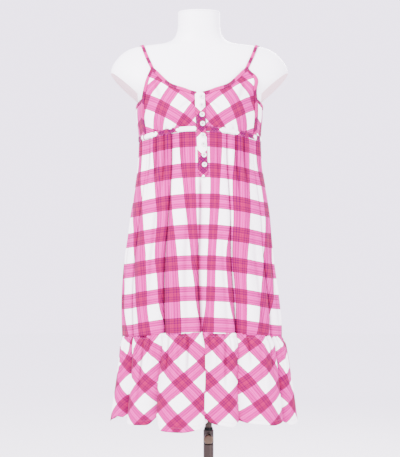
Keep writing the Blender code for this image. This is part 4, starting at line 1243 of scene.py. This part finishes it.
def strap_path(side, steps):
    """Points on the form from a strap's front end over the shoulder to its back end."""
    front_low, back_low = NECKLINE[-1].height, STRAP_BACK.height
    front_ring, back_ring = (ring_at(DRESS, np.array([low])) for low in (front_low, back_low))
    front_x = ring_point(front_ring, SIDE_SEAM)[0][0] - STRAP_WIDTH * STRAP_INSET
    back_x = ring_point(back_ring, STRAP_BACK.along)[0][0]
    low = np.array([front_low - STRAP_OVERLAP])
    start = math.atan2(low[0] - SHOULDER_CORE, front_reach(front_x, low)[0])
    back_drop = back_low - STRAP_OVERLAP - SHOULDER_CORE
    end = math.pi - math.atan2(back_drop, reach(back_ring, back_x, 1)[0])
    path = []
    for share in np.arange(steps + 1) / steps:
        low_x = front_x if share < 0.5 else back_x
        x = low_x + (STRAP_TOP_X - low_x) * math.sin(math.pi * share)
        path.append(strap_surface(front_ring.centre[0] + side * x, start + (end - start) * share))
    return path


def make_straps(trim, steps=72, corners=16):
    """The two shoulder straps, flat folded strips with soft edges."""
    turns = [2 * math.pi * k / corners for k in range(corners)]
    wide = [power(math.cos(turn), 0.5) * STRAP_WIDTH / 2 for turn in turns]
    tall = [power(math.sin(turn), 0.7) * STRAP_THICKNESS / 2 for turn in turns]
    around = np.cos(turns) * STRAP_WIDTH / 2
    for side, word in ((-1, "left"), (1, "right")):
        path = strap_path(side, steps)
        loops, lengths = [], [0.0]
        for i, point in enumerate(path):
            share = i / steps
            ahead = (path[min(i + 1, steps)] - path[max(i - 1, 0)]).normalized()
            guess = Vector((STRAP_TILT * side, -math.cos(math.pi * share), math.sin(math.pi * share)))
            across = ahead.cross(guess).normalized()
            out = across.cross(ahead).normalized()
            front = max(1.0 - share / STRAP_RISE, 0.0)
            back = max(1.0 - (1.0 - share) / STRAP_RISE, 0.0)
            lift = STRAP_SEAT + (STRAP_FRONT_LIFT - STRAP_SEAT) * front
            lift += (STRAP_BACK_LIFT - STRAP_SEAT) * back
            middle = point + out * (lift + STRAP_THICKNESS / 2)
            loops.append([list(middle + across * a + out * b) for a, b in zip(wide, tall)])
            if i:
                lengths.append(lengths[-1] + (point - path[i - 1]).length)
        u, v = np.meshgrid(around, lengths)
        check = np.stack([u / REPEAT, v / STRAP_REPEAT + 0.1], axis=-1)
        mesh = grid_mesh(f"strap_{word}", np.array(loops)[:, ::-1], check[:, ::-1], closed=True)
        close(mesh)
        new_piece(f"strap_{word}", mesh, trim)


# --- The form and its stand -----------------------------------------------------------------------


def make_form(shell, cut_face, columns=160, row_height=0.005):
    """The limbless torso with its two flat shoulder cuts."""
    heights = []
    for low, high in zip(FORM, FORM[1:]):
        steps = max(int(math.ceil((high.height - low.height) / row_height)), 2)
        heights += list(np.linspace(low.height, high.height, steps, endpoint=False))
    heights = np.array(heights + [FORM[-1].height])
    azimuths = np.arange(columns) * FULL_TURN / columns
    height, azimuth = np.meshgrid(heights, azimuths, indexing="ij")
    ring = ring_at(FORM, height)
    x, y = ring_point(ring, azimuth)
    y = np.where(y < 0, y - bust(x, height), y)
    mesh = grid_mesh("form_torso", np.stack([ring.centre + x, y, height], axis=-1)[::-1], closed=True)
    close(mesh)
    form = new_piece("form_torso", mesh, shell)
    mesh.materials.append(cut_face)
    for side in (-1, 1):
        cut_away(form, shoulder_wedge(side))
    colour_cuts(form)
    form.data.shade_smooth()
    form.data.set_sharp_from_angle(angle=FORM_SHARP)


def make_neck_cap(shell, columns=128):
    """The plain cap on the neck."""
    top = FORM[-1]
    rows = []
    for share, lift in NECK_CAP_PROFILE:
        level = np.full(columns, top.height + GAP + lift * NECK_CAP_HEIGHT)
        x, y = ring_point(top, np.arange(columns) * FULL_TURN / columns)
        rows.append(np.stack([top.centre + x * share, y * share, level], axis=-1))
    mesh = grid_mesh("neck_cap", np.array(rows), closed=True)
    close(mesh, weld=1e-5)
    mesh.set_sharp_from_angle(angle=SHARP)
    new_piece("neck_cap", mesh, shell)


def shoulder_wedge(side):
    """The space below a shoulder's slanted cut."""
    corners = []
    for y in (-WEDGE_DEPTH, WEDGE_DEPTH):
        inner, outer = (CUT_INNER_HEIGHT + (x - CUT_INNER) * CUT_SLOPE - CUT_TILT * y for x in WEDGE_SIDES)
        for x, z in zip(WEDGE_SIDES + WEDGE_SIDES[::-1], (inner, outer, WEDGE_BOTTOM, WEDGE_BOTTOM)):
            corners.append((DRESS[0].centre + side * x, y, z))
    faces = [(0, 1, 2, 3), (7, 6, 5, 4), (0, 4, 5, 1), (1, 5, 6, 2), (2, 6, 7, 3), (3, 7, 4, 0)]
    mesh = bpy.data.meshes.new("shoulder_wedge")
    mesh.from_pydata(corners, [], faces)
    close(mesh)
    return mesh


def colour_cuts(form):
    """Gives the slanted cut faces their own material."""
    slant = Vector((1.0, -CUT_TILT / CUT_SLOPE, -1.0 / CUT_SLOPE)).normalized()
    for face in form.data.polygons:
        aside = face.center.x - DRESS[0].centre
        outer = abs(aside) > CHEST_SIDE - 0.001 and face.center.z > CUT_LOWEST
        for side in (-1, 1):
            if outer and face.normal.dot(Vector((side * slant.x, slant.y, slant.z))) > 0.999:
                face.material_index = 1


def turned(bore, radius, low, high, top_edge=EASE, low_edge=EASE):
    """A turned piece's outline, solid or bored, with its outer edges eased by so much."""
    outline = [(bore, high), (radius - top_edge, high)]
    outline += [(radius, high - top_edge)] if top_edge else []
    outline += [(radius, low + low_edge)] if low_edge else []
    outline += [(radius - low_edge, low), (bore, low)]
    return outline + ([(bore, high)] if bore else [])


def make_stand(steel, dark_steel, rubber, knob_metal):
    """The rod and its flange, and the tube, clamp, knob and base below them."""
    flange_top = FORM[0].height - GAP
    flange_low = flange_top - FLANGE_THICKNESS
    flange = turned(0.0, FLANGE_RADIUS, flange_low, flange_top)
    rod = turned(0.0, ROD_RADIUS, ROD_BOTTOM, flange_low - GAP, top_edge=0.0)
    tube = turned(TUBE_BORE, TUBE_RADIUS, BASE_THICKNESS + GAP, COLLAR_BOTTOM - GAP, low_edge=0.0)
    collar = turned(TUBE_BORE, TUBE_RADIUS, COLLAR_BOTTOM, COLLAR_TOP)
    bush = turned(TUBE_BORE, BUSH_RADIUS, COLLAR_TOP + GAP, BUSH_TOP, low_edge=0.0)
    base = [(BASE_RADIUS - inward, height) for inward, height in BASE_RIM]
    base = [(0.0, BASE_THICKNESS), (BASE_RADIUS * 0.3, BASE_THICKNESS), (BASE_RADIUS * 0.6, 0.0108)] + base
    lathe("rod_flange", flange, dark_steel, "dressed_form")
    lathe("rod", rod, steel, "dressed_form")
    lathe("tube", tube, steel, "stand")
    lathe("clamp_collar", collar, dark_steel, "stand")
    lathe("bush", bush, rubber, "stand")
    knob = [(KNOB_RADIUS * across, KNOB_LENGTH * along) for across, along in KNOB_PROFILE]
    tip = KNOB_FRONT - SCREW_TIP
    knob += [(SCREW_RADIUS, 0.0), (SCREW_RADIUS, tip), (0.0, tip)]
    ribs = (20, 0.0011, KNOB_LENGTH * 0.2, KNOB_LENGTH * 0.75)
    seat = facing((0.0, KNOB_FRONT, KNOB_HEIGHT), Vector((0, -1, 0)))
    lathe("clamp_knob", knob, knob_metal, "knob", 240, seat, ribs)
    lathe("base_plate", base + [(0.0, 0.0)], dark_steel, "stand", 160)


# --- Materials ------------------------------------------------------------------------------------


def plain(name, colour, roughness, metallic=0.0, **others):
    """A plain material with the shader's own settings, and its node tree and shader."""
    material = bpy.data.materials.new(name)
    material.use_nodes = True
    shader = material.node_tree.nodes["Principled BSDF"]
    settings = {"Base Color": (*colour, 1.0), "Roughness": roughness, "Metallic": metallic}
    settings.update({socket.replace("_", " "): value for socket, value in others.items()})
    for socket, value in settings.items():
        shader.inputs[socket].default_value = value
    return material, material.node_tree, shader


def node(tree, kind, inputs, **settings):
    """A new node with its settings, and its inputs linked to other nodes' outputs or set."""
    made = tree.nodes.new("ShaderNode" + kind)
    for name, value in settings.items():
        setattr(made, name, value)
    for socket, value in inputs.items():
        if isinstance(value, bpy.types.NodeSocket):
            tree.links.new(value, made.inputs[socket])
        else:
            made.inputs[socket].default_value = value
    return made


def mixed(tree, a, b, share=1.0, blend="MIX"):
    """Two colours mixed, each given as an output or as a colour."""
    a, b = ((*colour, 1.0) if isinstance(colour, tuple) else colour for colour in (a, b))
    return node(tree, "Mix", {0: share, 6: a, 7: b}, data_type="RGBA", blend_type=blend).outputs[2]


def thread_ramp(tree, value, depth):
    """The tint of a set of threads from the place in its repeat."""
    shift = node(tree, "Math", {0: value, 1: BAND_MIDDLE}, operation="ADD")
    part = node(tree, "Math", {0: shift.outputs[0]}, operation="FRACT")
    ramp = node(tree, "ValToRGB", {0: part.outputs[0]})
    ramp.color_ramp.interpolation = "CONSTANT"
    steps = ramp.color_ramp.elements
    steps.remove(steps[-1])
    for number, (place, colour) in enumerate(BAND):
        step = steps.new(place) if number else steps[0]
        step.position = place
        step.color = (*(channel**depth for channel in colour), 1.0)
    return ramp.outputs[0]


def plaid(name, depth=1.0):
    """Yarn-dyed check cotton: bands of pink warp and weft, a fine weave, a soft surface and painted shade in
    its folds.
    """
    settings = {"Specular_IOR_Level": 0.06, "Sheen_Weight": 0.03, "Sheen_Roughness": 0.5}
    material, tree, shader = plain(name, WHITE_THREADS, 0.85, **settings)
    where = node(tree, "UVMap", {}, uv_map="check").outputs[0]
    apart = node(tree, "SeparateXYZ", {0: where})
    warp, weft = (thread_ramp(tree, apart.outputs[axis], depth) for axis in (0, 1))
    both = mixed(tree, mixed(tree, warp, weft, blend="MULTIPLY"), WHITE_THREADS, blend="MULTIPLY")
    colour = mixed(tree, both, CROSSING, blend="LIGHTEN")
    # Uneven yarn: a little lighter and darker along the threads
    noise = node(tree, "TexNoise", {"Scale": 26.0, "Detail": 4.0, "Vector": where})
    tone = node(tree, "MapRange", {0: noise.outputs[0], 1: 0.3, 2: 0.7, 3: 0.965, 4: 1.0})
    colour = mixed(tree, colour, tone.outputs[0], blend="MULTIPLY")
    # Painted shade: folds are darkened and tinted pink inside, as light reaches them only off the cloth's
    # own sides
    fold_shade = node(tree, "Attribute", {}, attribute_name="fold_shade")
    shade = mixed(tree, (1.0, 1.0, 1.0), FOLD_SHADE, fold_shade.outputs["Fac"])
    tree.links.new(mixed(tree, colour, shade, blend="MULTIPLY"), shader.inputs["Base Color"])
    tree.links.new(weave(tree, where), shader.inputs["Normal"])
    return material


def weave(tree, where):
    """A plain weave's bumps from two crossed sets of threads."""
    inputs = {"Scale": THREADS * math.pi / 20.0, "Distortion": 0.6, "Detail": 1.0, "Vector": where}
    heights = {}
    for axis, direction in enumerate("XY"):
        wave = node(tree, "TexWave", inputs, wave_type="BANDS", bands_direction=direction)
        heights[axis] = wave.outputs["Fac"]
    height = node(tree, "Math", heights, operation="ADD").outputs[0]
    return node(tree, "Bump", {"Strength": 0.12, "Distance": 0.0003, "Height": height}).outputs[0]


def brushed(name, colour, roughness):
    """Metal with a faint uneven polish."""
    material, tree, shader = plain(name, colour, roughness, 1.0)
    place = node(tree, "TexCoord", {}).outputs["Object"]
    noise = node(tree, "TexNoise", {"Scale": 60.0, "Vector": place}).outputs[0]
    spread = node(tree, "MapRange", {0: noise, 3: roughness * 0.85, 4: roughness * 1.2})
    tree.links.new(spread.outputs[0], shader.inputs["Roughness"])
    return material


def sweep(name, near, far):
    """A studio floor, painted paler far from the middle to make up for the lamps' light that falls off
    there, so it meets the background.
    """
    material, tree, shader = plain(name, near, 0.95, Specular_IOR_Level=0.0)
    place = node(tree, "TexCoord", {}).outputs["Object"]
    length = node(tree, "VectorMath", {0: place}, operation="LENGTH").outputs["Value"]
    limits = {0: length, 1: 1.0, 2: 5.5}
    share = node(tree, "MapRange", limits, interpolation_type="SMOOTHSTEP").outputs[0]
    tree.links.new(mixed(tree, near, far, share), shader.inputs["Base Color"])
    return material


# --- Building it ----------------------------------------------------------------------------------

cotton = plaid("plaid_cotton_finish")
trim = plaid("plaid_trim_finish", 1.2)
shell = plain("button_finish", (0.74, 0.71, 0.71), 0.28, Coat_Weight=0.4)[0]
# The buttons' thread is dark partly for its own colour and partly as painted shade of the holes it runs
# through
button_thread_and_hole_shade = plain("thread_finish", (0.16, 0.11, 0.12), 0.8)[0]
seam_thread = plain("seam_thread_finish", (0.45, 0.07, 0.22), 0.7)[0]
form_white = plain("form_finish", (0.90, 0.895, 0.91), 0.42)[0]
form_cut = plain("form_cut_finish", (0.66, 0.45, 0.48), 0.6)[0]
steel = brushed("steel_finish", (0.040, 0.030, 0.027), 0.34)
dark_steel = brushed("dark_steel_finish", (0.034, 0.027, 0.025), 0.42)
knob_metal = brushed("knob_finish", (0.080, 0.055, 0.040), 0.36)
rubber = plain("rubber_finish", (0.006, 0.006, 0.006), 0.7, Specular_IOR_Level=0.1)[0]

columns, rows = ((38, 110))
for panel, start, end in (("front", 0, 6), ("back", 6, 12)):
    skirt = skirt_panel(f"skirt_{panel}", start, end, columns, rows, cotton)
    flounce = flounce_panel(f"flounce_{panel}", start, end, columns + 6, 64, cotton, seam_thread)
sheets = make_cups(cotton, trim, seam_thread)
sheets += make_back(cotton, trim, seam_thread)
sheets += make_bands(trim, seam_thread)
heights, front, centre, placket = make_placket(trim, seam_thread)
make_buttons(heights, front, centre, shell, button_thread_and_hole_shade)
make_straps(trim)
make_form(form_white, form_cut)
make_neck_cap(form_white)
make_stand(steel, dark_steel, rubber, knob_metal)

# --- Floor, light and camera ----------------------------------------------------------------------


def soft_light(name, place, aim, size, watts):
    """A big square lamp pointing at a place."""
    lamp = bpy.data.lights.new(name, "AREA")
    lamp.shape = "SQUARE"
    lamp.size, lamp.energy = size, watts
    holder = added(name, lamp)
    holder.location = place
    holder.rotation_euler = (Vector(aim) - Vector(place)).to_track_quat("-Z", "Y").to_euler()


floor_mesh = bpy.data.meshes.new("floor")
with edited(floor_mesh) as disc:
    bmesh.ops.create_circle(disc, cap_ends=True, segments=96, radius=9.0)
# The floor's paler far part is painted light, making up for the lamps' falloff
floor_mesh.materials.append(sweep("floor_finish", (0.80, 0.80, 0.78), (0.955, 0.965, 0.955)))
floor = added("floor", floor_mesh)
floor.location.z = -0.0005

world = bpy.data.worlds.new("studio")
world.use_nodes = True
sky = world.node_tree.nodes["Background"]
sky.inputs["Color"].default_value = (0.885, 0.785, 1.0, 1.0)
sky.inputs["Strength"].default_value = 4.0
bpy.context.scene.world = world

soft_light("key", (-1.3, -2.0, 2.75), (0.0, 0.0, 1.05), 1.5, 300.0)
soft_light("fill", (2.2, -1.8, 1.3), (0.0, 0.0, 0.9), 1.8, 105.0)
soft_light("back", (0.8, 2.4, 2.6), (0.0, 0.0, 1.0), 1.6, 170.0)

camera = bpy.data.cameras.new("camera")
camera.lens = 98.5
view = added("camera", camera)
view.location = (-0.0204, -3.0, 0.994)
view.rotation_euler = (math.pi / 2, 0.0, 0.0)
bpy.context.scene.camera = view
